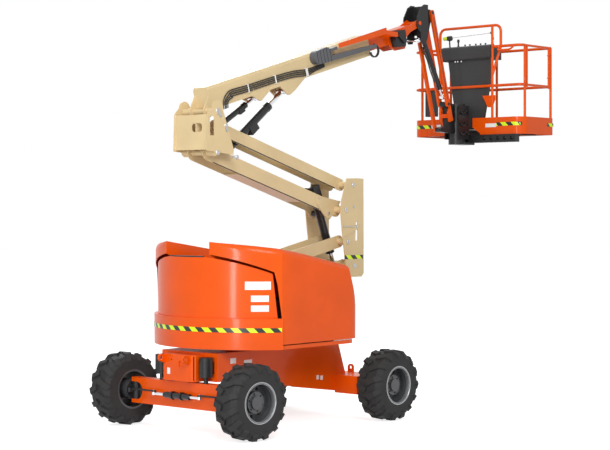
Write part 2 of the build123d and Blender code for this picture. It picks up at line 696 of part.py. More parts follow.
for side_name, side in (("far", 1), ("near", -1)):
    with BuildPart() as cover:
        add(cover_block(side, 0))
        add(cover_block(side, COVER_T), mode=Mode.SUBTRACT)
        with BuildSketch(Plane.XY.offset(COVER_LOW - 1)):
            with Locations((0, side * (COVER_IN + COVER_OUT) / 2)):
                Rectangle(1240, COVER_OUT - COVER_IN - 2 * COVER_T)
        extrude(amount=COVER_T + 2, mode=Mode.SUBTRACT)
        with BuildSketch(Plane.XY.offset(COVER_LOW - 1)):
            with Locations((0, side * COVER_IN)):
                Rectangle(1300 - 2 * COVER_T, 2 * COVER_T + 2)
        extrude(amount=COVER_INNER_LOW - COVER_LOW, mode=Mode.SUBTRACT)
    save(cover.part, f"cover_{side_name}")

# name, x0, x1, y0, y1, z1
for block_name, x0, x1, y0, y1, z1 in (
    ("engine_block", -450.0, 350.0, -900.0, -430.0, 1480.0),
    ("hydraulic_tank", -300.0, 350.0, 430.0, 820.0, 1400.0),
):
    with BuildPart() as block:
        with BuildSketch(Plane.XY.offset(DECK_TOP + SEAT_GAP)):
            with Locations(((x0 + x1) / 2, (y0 + y1) / 2)):
                Rectangle(x1 - x0, y1 - y0)
        extrude(amount=z1 - DECK_TOP)
        fillet(edges().filter_by(Axis.Z), 30)
    save(block.part, block_name)


# ---------------------------------------------------------------- tower
TOWER = side_plane(TOWER_PIN, TOWER_ANGLE)
TOWER_LIFT_FOOT = (1380.0, 1801.0)
PIN_END = UPRIGHT_IN + 1
BOSS_OUT = UPRIGHT_IN - SIDE_GAP
TOWER_BOSS_R = TOWER_PIN_R + BOSS_WALL
TOWER_CYL_PIN_R = 24.0


def local(frame, at):
    """A machine point (x, z) in the coordinates of a side plane."""
    p = frame.to_local_coords(Vector(at[0], 0, at[1]))
    return (p.X, p.Y)


with BuildPart() as tower_boom:
    foot = local(TOWER, TOWER_LIFT_FOOT)
    half = TOWER_DEPTH / 2
    box_beam(TOWER, TOWER_HALF_W, -half, half, 0, TOWER_LEN, BEAM_WALL)
    across(TOWER, TOWER_HALF_W - BEAM_WALL - 1,
           lambda: bar(0, half + 1, foot[0] - 330, TOWER_LEN + 1), Mode.SUBTRACT)
    both_sides(TOWER, TOWER_HALF_W - BEAM_WALL, TOWER_HALF_W,
               lambda: web((TOWER_LEN, 0, half - 8), (TOWER_LEN - 200, 0, half)))
    both_sides(TOWER, TOWER_HALF_W - BEAM_WALL, TOWER_HALF_W, lambda: disc((0, 0), half))
    both_sides(TOWER, TOWER_HALF_W - BEAM_WALL, PEDESTAL_IN - SIDE_GAP,
               lambda: disc((0, 0), TOWER_BOSS_R))
    both_sides(TOWER, TOWER_HALF_W - BEAM_WALL, BOSS_OUT, lambda: disc((TOWER_LEN, 0), TOWER_BOSS_R))
    eye_bores(TOWER, BOSS_OUT + 1, ((0, 0, TOWER_PIN_R), (TOWER_LEN, 0, TOWER_PIN_R)))
save(tower_boom.part, "tower_boom")

LINK = side_plane(LINK_PIN, TOWER_ANGLE)
with BuildPart() as tower_link:
    half = TOWER_LINK_DEPTH / 2
    outer = TOWER_LINK_IN + TOWER_LINK_T
    both_sides(LINK, TOWER_LINK_IN, outer, lambda: bar(-half, half, 0, TOWER_LEN))
    both_sides(LINK, TOWER_LINK_IN, outer, lambda: disc((0, 0), half))
    both_sides(LINK, TOWER_LINK_IN, outer, lambda: disc((TOWER_LEN, 0), half))
    across(LINK, outer, lambda: bar(-half, -half + TOWER_LINK_T, 420, 1500))
    both_sides(LINK, TOWER_LINK_IN, PEDESTAL_IN - SIDE_GAP, lambda: disc((0, 0), TOWER_BOSS_R))
    both_sides(LINK, TOWER_LINK_IN, BOSS_OUT, lambda: disc((TOWER_LEN, 0), TOWER_BOSS_R))
    eye_bores(LINK, BOSS_OUT + 1, ((0, 0, TOWER_PIN_R),))
    eye_bores(LINK, BOSS_OUT + 1, ((TOWER_LEN, 0, TOWER_PIN_R),), OPEN_FIT)
save(tower_link.part, "tower_link")

UPRIGHT_OUTLINE = (
    (1294.0, 2870.0), (1500.0, 2874.0), (1606.0, 2870.0), (1612.0, 1705.0), (1570.0, 1664.0),
    (1330.0, 1664.0), (1290.0, 1700.0), (1205.0, 2250.0), (1179.0, 2450.0), (1196.0, 2600.0),
)
UPRIGHT_SLOT = ((1477.0, 2130.0, 26.0), (1480.0, 2325.0, 19.0))
UPRIGHT_HOLE = (1425.0, 2525.0)
with BuildPart() as upright:
    both_sides(MID, UPRIGHT_IN, UPRIGHT_IN + UPRIGHT_T, lambda: Polygon(*UPRIGHT_OUTLINE, align=None))
    for x, z in ((1560.0, 1820.0), (1555.0, 2500.0), (1550.0, 2790.0)):
        across(MID, UPRIGHT_IN + 1, lambda: disc((x, z), 34))
    across(MID, UPRIGHT_IN + UPRIGHT_T + 1, lambda: web(*UPRIGHT_SLOT), Mode.SUBTRACT)
    across(MID, UPRIGHT_IN + UPRIGHT_T + 1, lambda: disc(UPRIGHT_HOLE, 15), Mode.SUBTRACT)
    for at, inner in (
        (TOWER_END, TOWER_HALF_W), (LINK_END, TOWER_LINK_IN + BEAM_WALL), (MID_PIN, MID_HALF_W),
        (MID_LINK_PIN, MID_LINK_HALF_W),
    ):
        both_sides(MID, inner - BEAM_WALL + 1, UPRIGHT_IN + 1, lambda: disc(at, TOWER_PIN_R))
save(upright.part, "upright")

MIDB = side_plane(MID_PIN, 180 - MID_ANGLE)
TOWER_LIFT_HEAD = (1111.0, 2441.0)
MID_FORK = MID_LEN - 560.0
with BuildPart() as mid_boom:
    head = local(MIDB, TOWER_LIFT_HEAD)
    half = MID_DEPTH / 2
    box_beam(MIDB, MID_HALF_W, -half, half, 0, MID_LEN, BEAM_WALL)
    across(MIDB, MID_HALF_W - BEAM_WALL - 1, lambda: bar(-half - 1, half + 1, -1, 640), Mode.SUBTRACT)
    across(MIDB, MID_HALF_W - BEAM_WALL - 1,
           lambda: bar(-half - 1, half + 1, MID_FORK, MID_LEN + 1), Mode.SUBTRACT)
    across(MIDB, MID_HALF_W - BEAM_WALL - 1,
           lambda: bar(-half - 1, 0, MID_LEN - MID_TOP_OPEN, MID_LEN + 1), Mode.SUBTRACT)
    for end in (0, MID_LEN):
        both_sides(MIDB, MID_HALF_W - BEAM_WALL, MID_HALF_W, lambda: disc((end, 0), half))
    both_sides(MIDB, MID_HALF_W - BEAM_WALL, MID_HALF_W + 12,
               lambda: web((*head, 52), (head[0] - 130, 0, 60), (head[0] + 150, 0, 60)))
    both_sides(MIDB, MID_HALF_W - BEAM_WALL, BOSS_OUT, lambda: disc((0, 0), TOWER_BOSS_R))
    both_sides(MIDB, MID_HALF_W - BEAM_WALL, RISER_IN - SIDE_GAP, lambda: disc((MID_LEN, 0), TOWER_BOSS_R))
    eye_bores(MIDB, BOSS_OUT + 1, ((0, 0, TOWER_PIN_R), (MID_LEN, 0, TOWER_PIN_R)))
    both_sides(MIDB, 57, MID_HALF_W + 13, lambda: disc(head, TOWER_CYL_PIN_R))
save(mid_boom.part, "mid_boom")

MIDL = side_plane(MID_LINK_PIN, 180 - MID_ANGLE)
with BuildPart() as mid_link:
    half = MID_LINK_DEPTH / 2
    box_beam(MIDL, MID_LINK_HALF_W, -half, half, 0, MID_LEN, BEAM_WALL)
    across(MIDL, MID_LINK_HALF_W - BEAM_WALL, lambda: bar(0, half + 1, -1, MID_LEN + 1), Mode.SUBTRACT)
    across(MIDL, MID_LINK_HALF_W - BEAM_WALL,
           lambda: bar(-half - 1, half + 1, MID_LEN - MID_LINK_FORK, MID_LEN + 1), Mode.SUBTRACT)
    for end in (0, MID_LEN):
        both_sides(MIDL, MID_LINK_HALF_W - BEAM_WALL, MID_LINK_HALF_W, lambda: disc((end, 0), half))
    both_sides(MIDL, MID_LINK_HALF_W - BEAM_WALL, BOSS_OUT, lambda: disc((0, 0), TOWER_BOSS_R))
    both_sides(MIDL, MID_LINK_HALF_W - BEAM_WALL, RISER_IN - SIDE_GAP,
               lambda: disc((MID_LEN, 0), TOWER_BOSS_R))
    eye_bores(MIDL, BOSS_OUT + 1, ((0, 0, TOWER_PIN_R),))
    eye_bores(MIDL, BOSS_OUT + 1, ((MID_LEN, 0, TOWER_PIN_R),), OPEN_FIT)
save(mid_link.part, "mid_link")


# ---------------------------------------------------------------- riser
RISER_OUTLINE = (
    (-1100.0, 3153.0), (-675.0, 3114.0), (-668.0, 3170.0), (-855.0, 3650.0), (-1000.0, 3660.0),
    (-1085.0, 3575.0),
)
RISER_WINDOW = (-1091.0, -980.0, 3325.0, 3539.0)
RISER_EYE = (-86.0, 3415.0)
RISER_EYE_SIZE = (168.0, 96.0)
RISER_EYE_ROUND = 38.0
LIFT_PIN_R = 25.0
LEVEL_PIN_R = 18.0
with BuildPart() as riser:
    both_sides(MID, RISER_IN, RISER_IN + RISER_T, lambda: Polygon(*RISER_OUTLINE, align=None))
    both_sides(MID, RISER_IN, RISER_IN + RISER_T, lambda: disc((BOOM_PIN[0], BOOM_PIN[1] + 40), 86))
    both_sides(MID, RISER_IN - 1, RISER_IN + RISER_T + 1, lambda: bar(
        RISER_WINDOW[2], RISER_WINDOW[3], RISER_REAR + 20, RISER_WINDOW[1]), Mode.SUBTRACT)
    across(MID, RISER_IN + 1, lambda: bar(3165, 3560, RISER_REAR - 6, RISER_REAR + 6))
    with BuildSketch(Plane.YZ.offset(RISER_REAR - 7)):
        with Locations((RISER_EYE[0], RISER_EYE[1])):
            RectangleRounded(*RISER_EYE_SIZE, RISER_EYE_ROUND)
    extrude(amount=14, mode=Mode.SUBTRACT)
    both_sides(MID, LUG_IN, LUG_IN + LUG_T, lambda: web(
        (RISER_REAR + 30, 3200, 30), (*LIFT_BASE, 46), (*LEVEL_BASE, 42), (RISER_REAR + 30, 3440, 30)))
    for pin, r in ((BOOM_PIN, BOOM_PIN_R), (MID_END, TOWER_PIN_R)):
        across(MID, RISER_IN + RISER_T + 8, lambda: disc(pin, r))
    both_sides(MID, MID_LINK_HALF_W - 13, RISER_IN + RISER_T + 8, lambda: disc(MID_LINK_END, TOWER_PIN_R))
    for pin, r in ((LIFT_BASE, LIFT_PIN_R), (LEVEL_BASE, LEVEL_PIN_R)):
        across(MID, LUG_IN + LUG_T + 4, lambda: disc(pin, r))
save(riser.part, "riser")


# ---------------------------------------------------------------- main boom
BOOM = side_plane(BOOM_PIN, BOOM_ANGLE)


def boom_ring(inset):
    """Section of the main boom, its top corners sloped, drawn inwards by an inset."""
    side, top, low = BOOM_HALF_W - inset, BOOM_HIGH - inset, BOOM_LOW + inset
    edge = BOOM_EDGE - inset * 0.586
    Polygon((-side, low), (side, low), (side, top - edge), (side - edge, top), (edge - side, top),
            (-side, top - edge), align=None)


BRACKET_IN = BOOM_HALF_W - BOOM_LUG_T
BOOM_CLEAR_S = 150.0     # from here forward nothing stands inside, so the fly can slide
EYE_SLOTS = ((690.0, 960.0), (1265.0, 1500.0))   # openings in the boom's floor over the rods' eyes
PAD_GAP = 0.5
with BuildPart() as main_boom:
    for inset, mode in ((0, Mode.ADD), (BOOM_WALL, Mode.SUBTRACT)):
        with BuildSketch(Plane(origin=BOOM.from_local_coords(Vector(BOOM_REAR + inset, 0, 0)),
                               x_dir=(0, 1, 0), z_dir=BOOM.x_dir)) as ring:
            boom_ring(inset)
        extrude(ring.sketch, amount=BOOM_FRONT - BOOM_REAR + inset, mode=mode)
    both_sides(BOOM, BRACKET_IN, BOOM_HALF_W, lambda: web((0, 0, 70), (190, 60, 30), (130, 200, 30)))
    both_sides(BOOM, BRACKET_IN, BOOM_HALF_W, lambda: web(
        (*LIFT_EYE, 46), (LIFT_EYE[0] - 130, BOOM_LOW + 12, 12), (LIFT_EYE[0] + 100, -88, 12),
        (LIFT_EYE[0] + 320, BOOM_LOW + 12, 12)))
    both_sides(BOOM, BRACKET_IN, BOOM_HALF_W, lambda: web(
        (*LEVEL_EYE, 34), (LEVEL_EYE[0] - 130, BOOM_LOW + 12, 12), (LEVEL_EYE[0] + 190, BOOM_LOW + 12, 12)))
    across(BOOM, BOOM_HALF_W - BOOM_WALL, lambda: bar(
        BOOM_LOW + BOOM_WALL, BOOM_HIGH - BOOM_EDGE - 4, BOOM_CLEAR_S, BOOM_FRONT - 80), Mode.SUBTRACT)
    for slot_s0, slot_s1 in EYE_SLOTS:
        across(BOOM, BRACKET_IN, lambda: bar(
            BOOM_LOW - 1, BOOM_LOW + BOOM_WALL + 1, slot_s0, slot_s1), Mode.SUBTRACT)
    across(BOOM, BOOM_HALF_W - BOOM_EDGE, lambda: bar(
        BOOM_LOW + 1, BOOM_HIGH - 1, BOOM_FRONT - 70, BOOM_FRONT - 10))
    across(BOOM, BOOM_HALF_W - 1, lambda: bar(
        BOOM_LOW + 1, BOOM_HIGH - BOOM_EDGE, BOOM_FRONT - 70, BOOM_FRONT - 10))
    across(BOOM, FLY_HALF_W + PAD_GAP, lambda: bar(
        FLY_LOW - PAD_GAP, FLY_HIGH + PAD_GAP, BOOM_FRONT - 71, BOOM_FRONT - 9), Mode.SUBTRACT)
    both_sides(BOOM, BRACKET_IN, RISER_IN - SIDE_GAP, lambda: disc((0, 0), BOOM_PIN_R + BOSS_WALL))
    eye_bores(BOOM, RISER_IN, ((0, 0, BOOM_PIN_R),))
save(main_boom.part, "main_boom")

SLAVE_BASE = (3368.0, 118.0)
SLAVE_PIN_R = 16.0
NOSE_PIN_R = 26.0
NOSE_OUTLINE = (
    (3430.0, 185.0), (3430.0, 40.0), (3460.0, 0.0), (3520.0, -45.0), (3733.0, -62.0), (3801.0, 75.0),
    (3905.0, 121.0), (4085.0, 148.0), (4152.0, 178.0), (4152.0, 222.0), (4110.0, 250.0),
    (3930.0, 206.0),
)
RAIL_IN = 226.0          # carrier rail, outside the drum
RAIL_T = 8.0
HOSE_RAIL = (
    (2300.0, 240.0), (2300.0, 296.0), (3262.0, 300.0), (3262.0, 262.0), (3470.0, 200.0), (3470.0, 145.0),
    (3420.0, 145.0), (3240.0, 222.0),
)
with BuildPart() as fly_boom:
    inner = FLY_HALF_W - FLY_WALL
    across(BOOM, BOOM_HALF_W - BOOM_WALL - PAD_GAP, lambda: bar(
        BOOM_LOW + BOOM_WALL + PAD_GAP, BOOM_HIGH - BOOM_EDGE - 8, FLY_REAR, FLY_REAR + 60))
    box_beam(BOOM, FLY_HALF_W, FLY_LOW, FLY_HIGH, FLY_REAR, FLY_FRONT, FLY_WALL)
    across(BOOM, inner, lambda: bar(FLY_LOW - 1, FLY_LOW + FLY_WALL + 1, 3440, FLY_FRONT + 1),
           Mode.SUBTRACT)
    across(BOOM, FLY_HALF_W + 1, lambda: Polygon(
        (3765, FLY_LOW - 20), (3950, FLY_LOW - 20), (3950, 132), (3905, 121), (3801, 75), align=None),
        Mode.SUBTRACT)
    both_sides(BOOM, FLY_HALF_W, FLY_HALF_W + NOSE_T, lambda: Polygon(*NOSE_OUTLINE, align=None))
    across(BOOM, JIB_PLATE_IN + JIB_PLATE_T + 6, lambda: disc(NOSE_PIN, NOSE_PIN_R))
    across(BOOM, inner + 1, lambda: disc(SLAVE_BASE, SLAVE_PIN_R))
    with BuildSketch(BOOM.offset(RAIL_IN)):
        Polygon(*HOSE_RAIL, align=None)
    extrude(amount=RAIL_T)
    with BuildSketch(BOOM.offset(FLY_HALF_W + NOSE_T - 1)):
        bar(150, 182, 3434, 3458)
    extrude(amount=RAIL_IN - FLY_HALF_W - NOSE_T + 2)
save(fly_boom.part, "fly_boom")

with BuildPart() as valve_block:
    with BuildSketch(BOOM.offset(FLY_HALF_W + NOSE_T + SEAT_GAP)):
        Polygon((3474, 222), (3690, 190), (3682, 60), (3640, -22), (3484, 8), (3466, 100), align=None)
    extrude(amount=92)
    with BuildSketch(BOOM.offset(FLY_HALF_W + NOSE_T + SEAT_GAP + 91)):
        web((3540, 150, 30), (3620, 60, 34))
    extrude(amount=24)
save(valve_block.part, "valve_block")

# drum and flat chain of the hose carrier along the near side of the main boom
CARRIER_IN = BOOM_HALF_W + SEAT_GAP
CARRIER_W = 88.0
with BuildPart() as hose_carrier:
    with BuildSketch(BOOM.offset(CARRIER_IN)):
        web((1935, 203, 84), (2080, 203, 92))
        bar(224, 262, 2080, 2290)
        Polygon((2080, 112), (2080, 180), (3045, 132), (3045, 88), align=None)
    extrude(amount=CARRIER_W)
    for groove_s in (1905, 1965, 2025, 2085, 2145):
        with BuildSketch(BOOM.offset(CARRIER_IN + CARRIER_W - 8)):
            bar(104, 300, groove_s - 6, groove_s + 6)
        extrude(amount=10, mode=Mode.SUBTRACT)
save(hose_carrier.part, "hose_carrier")

# hoses along the near side of the main boom: rows of (s, t) for each, from the pivot to the carrier
HOSE_R = 9.0
HOSE_Y = BOOM_HALF_W + SEAT_GAP + HOSE_R + 2
HOSE_BENDS = (60.0, 70.0, 200.0, 700.0)
HOSES = (
    ((236, -34), (262, 70), (372, 152), (680, 128), (1180, 128), (1745, 94), (2090, 92)),
    ((262, -34), (288, 62), (396, 128), (680, 104), (1180, 104), (1745, 72), (2090, 68)),
    ((292, -34), (330, 58), (420, 104), (680, 80), (1180, 80), (1745, 50), (2080, 46)),
)
CLAMPS = ((690, 60, 150), (1170, 60, 148), (1735, 30, 116))      # s, low, high
with BuildPart() as boom_hoses:
    hose_plane = BOOM.offset(HOSE_Y)
    for route in HOSES:
        points = [hose_plane.from_local_coords(Vector(u, v, 0)) for u, v in route]
        with BuildLine() as path:
            FilletPolyline(*points, radius=45)
        with BuildSketch(Plane(origin=path.line @ 0, z_dir=path.line % 0)) as ring:
            Circle(HOSE_R)
        sweep(ring.sketch, path=path.line)
    for clamp_s, low, high in CLAMPS:
        with BuildSketch(BOOM.offset(BOOM_HALF_W + SEAT_GAP)):
            bar(low, high, clamp_s - 10, clamp_s + 10)
        extrude(amount=2 * HOSE_R + 7)
save(boom_hoses.part, "boom_hoses")


# ---------------------------------------------------------------- jib
JIB_LOW_PIN_R = 16.0
INNER_PLATE_IN = 38.0
INNER_PLATE_OUT = 48.0
BRACKET_OUTLINE = (
    (2905.0, 4885.0), (2915.0, 4990.0), (3000.0, 5130.0), (3060.0, 5166.0), (3140.0, 5166.0),
    (3140.0, 4740.0), (3095.0, 4660.0), (3020.0, 4652.0), (2985.0, 4690.0), (2995.0, 4800.0),
    (2925.0, 4845.0),
)
with BuildPart() as jib_bracket:
    both_sides(MID, JIB_PLATE_IN, JIB_PLATE_IN + JIB_PLATE_T, lambda: Polygon(*BRACKET_OUTLINE, align=None))
    across(MID, JIB_PLATE_IN + 1, lambda: bar(4770, 5150, 3098, 3110))
    both_sides(MID, INNER_PLATE_IN, INNER_PLATE_OUT, lambda: web(
        (*JIB_TOP_PIN, 40), (*JIB_LOW_PIN, 34), (3115, 5110, 20), (3115, 4790, 20)))
    both_sides(MID, INNER_PLATE_IN - 1, JIB_BAR_IN + JIB_BAR_T + 4, lambda: disc(JIB_TOP_PIN, JIB_PIN_R))
    with BuildSketch(on_y(1 - INNER_PLATE_OUT)):
        disc(JIB_LOW_PIN, JIB_LOW_PIN_R)
    extrude(amount=1 - INNER_PLATE_OUT - JIB_BAR_IN - JIB_BAR_T - 2)
    nose_bore = NOSE_PIN_R + RUN_FIT
    across(MID, JIB_PLATE_IN + JIB_PLATE_T + 1, lambda: disc(NOSE_PIVOT, nose_bore), Mode.SUBTRACT)
save(jib_bracket.part, "jib_bracket")

JIBU = side_plane(JIB_TOP_PIN, JIB_ANGLE)
JIB_BAR_OUT = JIB_BAR_IN + JIB_BAR_T
with BuildPart() as jib_arm_upper:
    half = JIB_BAR_D / 2
    both_sides(JIBU, JIB_BAR_IN, JIB_BAR_OUT, lambda: web((0, 0, half), (JIB_LEN, 0, half)))
    across(JIBU, JIB_BAR_IN + 1, lambda: bar(half - 14, half, 52, 98))
    eye_bores(JIBU, JIB_BAR_OUT + 1, ((0, 0, JIB_PIN_R), (JIB_LEN, 0, JIB_PIN_R)))
save(jib_arm_upper.part, "jib_arm_upper")

JIB_LOW_D = 56.0
JIBL = side_plane(JIB_LOW_PIN, JIB_ANGLE)
with BuildPart() as jib_arm_lower:
    with BuildSketch(JIBL.offset(-JIB_BAR_IN)):
        web((0, 0, JIB_LOW_D / 2), (JIB_LEN, 0, JIB_LOW_D / 2))
    extrude(amount=-JIB_BAR_T + 2)
    eye_bores(JIBL, JIB_BAR_OUT, ((0, 0, JIB_LOW_PIN_R), (JIB_LEN, 0, JIB_LOW_PIN_R)))
save(jib_arm_lower.part, "jib_arm_lower")


# ---------------------------------------------------------------- cylinders
def rod_along(frame, s0, s1, r, mode=Mode.ADD):
    """Round bar along a side plane's local x."""
    start = frame.from_local_coords(Vector(s0, 0, 0))
    with BuildSketch(Plane(origin=start, x_dir=(0, 1, 0), z_dir=frame.x_dir)) as ring:
        Circle(r)
    extrude(ring.sketch, amount=s1 - s0, mode=mode)


FLY_BASE = on_boom(*SLAVE_BASE)
BARREL_BLOCKS = {        # start, end, low, high, half width of the valve blocks on a barrel
    "tower": ((-362.0, -190.0, -60.0, 60.0, 70.0),),
    "lift": ((560.0, 700.0, -88.0, 20.0, 56.0),),
    "level": ((430.0, 520.0, -46.0, 12.0, 38.0),),
}
# name, barrel pin, rod eye, barrel radius, barrel start and end, closed length, rod radius,
# barrel eye half width, barrel pin radius, eye half width, eye pin radius, half gap at the eye
for row in (
    ("tower", TOWER_LIFT_HEAD, TOWER_LIFT_FOOT, 52.0, -360.0, 520.0, 630.0, 30.0, 100.0, 24.0, 45.0, 20.0, 115.0),
    ("lift", LIFT_BASE, LIFT_TIP, 50.0, 38.0, 1030.0, 1120.0, 30.0, 56.0, 25.0, 42.0, 22.0, 100.0),
    ("level", LEVEL_BASE, LEVEL_TIP, 34.0, 28.0, 585.0, 655.0, 17.0, 56.0, 18.0, 30.0, 18.0, 100.0),
    ("slave", FLY_BASE, SLAVE_EYE, 32.0, 26.0, 465.0, 548.0, 16.0, 60.0, 16.0, 30.0, 16.0, 104.0),
    ("jib", JIB_LOW_PIN, JIB_CYL_END, 32.0, 26.0, 740.0, 808.0, 17.0, 32.0, 16.0, 30.0, 16.0, 52.0),
):
    label, foot, tip, barrel_r, start, end, closed, rod_r, foot_w, foot_pin, eye_w, eye_pin, gap = row
    reach, angle = span(foot, tip)
    frame = side_plane(foot, angle)
    inner_end = start + 26
    with BuildPart() as barrel:
        rod_along(frame, start, end, barrel_r)
        rod_along(frame, end - 50, end, barrel_r + 4)
        across(frame, foot_w, lambda: disc((0, 0), foot_pin + 16))
        if start < 0:
            both_sides(frame, barrel_r + 4, foot_w + 1, lambda: disc((0, 0), foot_pin + RUN_FIT), Mode.SUBTRACT)
        else:
            across(frame, foot_w + 1, lambda: disc((0, 0), foot_pin + RUN_FIT), Mode.SUBTRACT)
        for block_s0, block_s1, block_low, block_high, block_w in BARREL_BLOCKS.get(label, ()):
            across(frame, block_w, lambda: bar(block_low, block_high, block_s0, block_s1))
        rod_along(frame, inner_end, end + 1, rod_r + RUN_FIT, Mode.SUBTRACT)
    save(barrel.part, f"{label}_barrel")
    with BuildPart() as rod:
        rod_along(frame, reach - closed + inner_end + 4, reach - eye_pin, rod_r)
        across(frame, eye_w, lambda: disc((reach, 0), eye_pin + 16))
        across(frame, gap - 0.5, lambda: disc((reach, 0), eye_pin))
    save(rod.part, f"{label}_rod")


# ---------------------------------------------------------------- platform support
JIB_HOLD_W = 46.0
SHAFT_R = 40.0
with BuildPart() as platform_support:
    across(MID, JIB_HOLD_W, lambda: disc(JIB_TOP_END, 36))
    across(MID, JIB_HOLD_W, lambda: disc(JIB_LOW_END, 30))
    across(MID, JIB_HOLD_W, lambda: Polygon(
        (JIB_TOP_END[0], JIB_TOP_END[1] + 36), (ROTATOR_X, ROTATOR_HIGH - 30), (ROTATOR_X, 3500),
        (JIB_LOW_END[0], JIB_LOW_END[1] - 30), (JIB_LOW_END[0], JIB_LOW_END[1] + 30),
        (JIB_TOP_END[0] + 42, 3605), (JIB_TOP_END[0] + 42, 3855), (JIB_TOP_END[0], 3855), align=None))
    with BuildSketch(Plane.XY.offset(ROTATOR_LOW)):
        disc((ROTATOR_X, 0), ROTATOR_R)
    extrude(amount=ROTATOR_HIGH - ROTATOR_LOW)
    with BuildSketch(Plane.XY.offset(ROTATOR_LOW)):
        disc((ROTATOR_X, 0), SHAFT_R + RUN_FIT)
    extrude(amount=70, mode=Mode.SUBTRACT)
    across(MID, JIB_BAR_OUT + 4, lambda: disc(JIB_TOP_END, JIB_PIN_R))
    with BuildSketch(on_y(JIB_HOLD_W - 1)):
        disc(JIB_LOW_END, JIB_LOW_PIN_R)
    extrude(amount=JIB_HOLD_W - 1 - JIB_BAR_OUT)
save(platform_support.part, "platform_support")

with BuildPart() as support_arm:
    both_sides(JIBU, JIB_BAR_IN, JIB_BAR_OUT, lambda: Polygon(
        (JIB_LEN + 28, JIB_BAR_D / 2), (JIB_LEN + 235, JIB_BAR_D / 2), (JIB_LEN + 235, -JIB_BAR_D / 2),
        (JIB_LEN + 112, -JIB_BAR_D / 2), align=None))
    both_sides(JIBU, JIB_HOLD_W, JIB_BAR_IN + 1, lambda: bar(-15, 37, JIB_LEN + 130, JIB_LEN + 220))
    across(JIBU, JIB_BAR_IN + 1, lambda: bar(-37, -16, JIB_LEN + 130, JIB_LEN + 180))
save(support_arm.part, "support_arm")

BEAM_X0 = 4100.0
BEAM_X1 = 4200.0
BEAM_Y0 = -830.0
BEAM_Y1 = 60.0
with BuildPart() as platform_mount:
    with BuildSketch(Plane.XY.offset(ROTATOR_LOW - 32)):
        disc((ROTATOR_X, 0), ROTATOR_R)
        with Locations(((ROTATOR_X + BEAM_X1) / 2, 0)):
            Rectangle(BEAM_X1 - ROTATOR_X, 200)
    extrude(amount=32 - SEAT_GAP)
    with BuildSketch(Plane.XY.offset(ROTATOR_LOW - 1)):
        disc((ROTATOR_X, 0), SHAFT_R)
    extrude(amount=66)
    with BuildSketch(Plane.YZ.offset(BEAM_X0)):
        with Locations(((BEAM_Y0 + BEAM_Y1) / 2, (ROTATOR_LOW - 7 + FLOOR_LOW) / 2)):
            Rectangle(BEAM_Y1 - BEAM_Y0, FLOOR_LOW - ROTATOR_LOW + 7)
    extrude(amount=BEAM_X1 - BEAM_X0)
    with BuildSketch(Plane.YZ.offset(BEAM_X0 - 1)):
        for hole_y in (-330, -440, -550, -660, -770):
            disc((hole_y, 3440), 26)
    extrude(amount=BEAM_X1 - BEAM_X0 + 2, mode=Mode.SUBTRACT)
save(platform_mount.part, "platform_mount")


# ---------------------------------------------------------------- platform
def platform_outline(inset):
    """Rounded plan outline of the platform, drawn inwards by an inset."""
    with Locations(((PLAT_X0 + PLAT_X1) / 2, 0)):
        Rectangle(PLAT_X1 - PLAT_X0 - 2 * inset, 2 * (PLAT_HALF_L - inset))
    fillet(vertices().group_by(Axis.X)[0], PLAT_CORNER - inset)
    fillet(vertices().group_by(Axis.X)[-1], PLAT_OUTER_CORNER - inset)


TOE_GAP_Y0 = -112.0
TOE_GAP_Y1 = 300.0
with BuildPart() as platform_toe:
    with BuildSketch(Plane.XY.offset(FLOOR_LOW)):
        platform_outline(0)
    extrude(amount=TOE_TOP - FLOOR_LOW)
    with BuildSketch(Plane.XY.offset(FLOOR_LOW)):
        platform_outline(TOE_T)
    extrude(amount=TOE_TOP - FLOOR_LOW, mode=Mode.SUBTRACT)
    with BuildSketch(Plane.YZ.offset(PLAT_X0 - 1)):
        Polygon(
            (TOE_GAP_Y1, FLOOR_LOW - 1), (TOE_GAP_Y1, TOE_TOP + 1), (TOE_GAP_Y0, TOE_TOP + 1),
            (TOE_GAP_Y0, 3595), (TOE_GAP_Y0 - 124, FLOOR_LOW + 22), (TOE_GAP_Y0 - 124, FLOOR_LOW - 1),
            align=None)
    extrude(amount=TOE_T + 20, mode=Mode.SUBTRACT)
save(platform_toe.part, "platform_toe")

with BuildPart() as platform_floor:
    with BuildSketch(Plane.XY.offset(FLOOR_Z - FLOOR_T)):
        platform_outline(TOE_T)
    extrude(amount=FLOOR_T)
    with BuildSketch(Plane.XY.offset(FLOOR_LOW + SEAT_GAP)):
        for joist_y in (-600, -200, 200, 600):
            with Locations(((PLAT_X0 + PLAT_X1) / 2, joist_y)):
                Rectangle(PLAT_X1 - PLAT_X0 - 2 * TOE_T, 50)
    extrude(amount=FLOOR_Z - FLOOR_LOW - 1)
    with BuildSketch(Plane.XY.offset(FLOOR_Z - 1)):
        with Locations(((DECK_PAD[0] + DECK_PAD[1]) / 2, 0)):
            Rectangle(DECK_PAD[1] - DECK_PAD[0], 2 * DECK_PAD[2])
    extrude(amount=1 + DECK_PAD_T)
save(platform_floor.part, "platform_floor")


def tube(*points, bend=RAIL_BEND, r=RAIL_R):
    """Round tube along a filleted run of points."""
    with BuildLine() as path:
        if len(points) > 2:
            FilletPolyline(*points, radius=bend)
        else:
            Line(*points)
    with BuildSketch(Plane(origin=path.line @ 0, z_dir=path.line % 0)) as ring:
        Circle(r)
    sweep(ring.sketch, path=path.line)


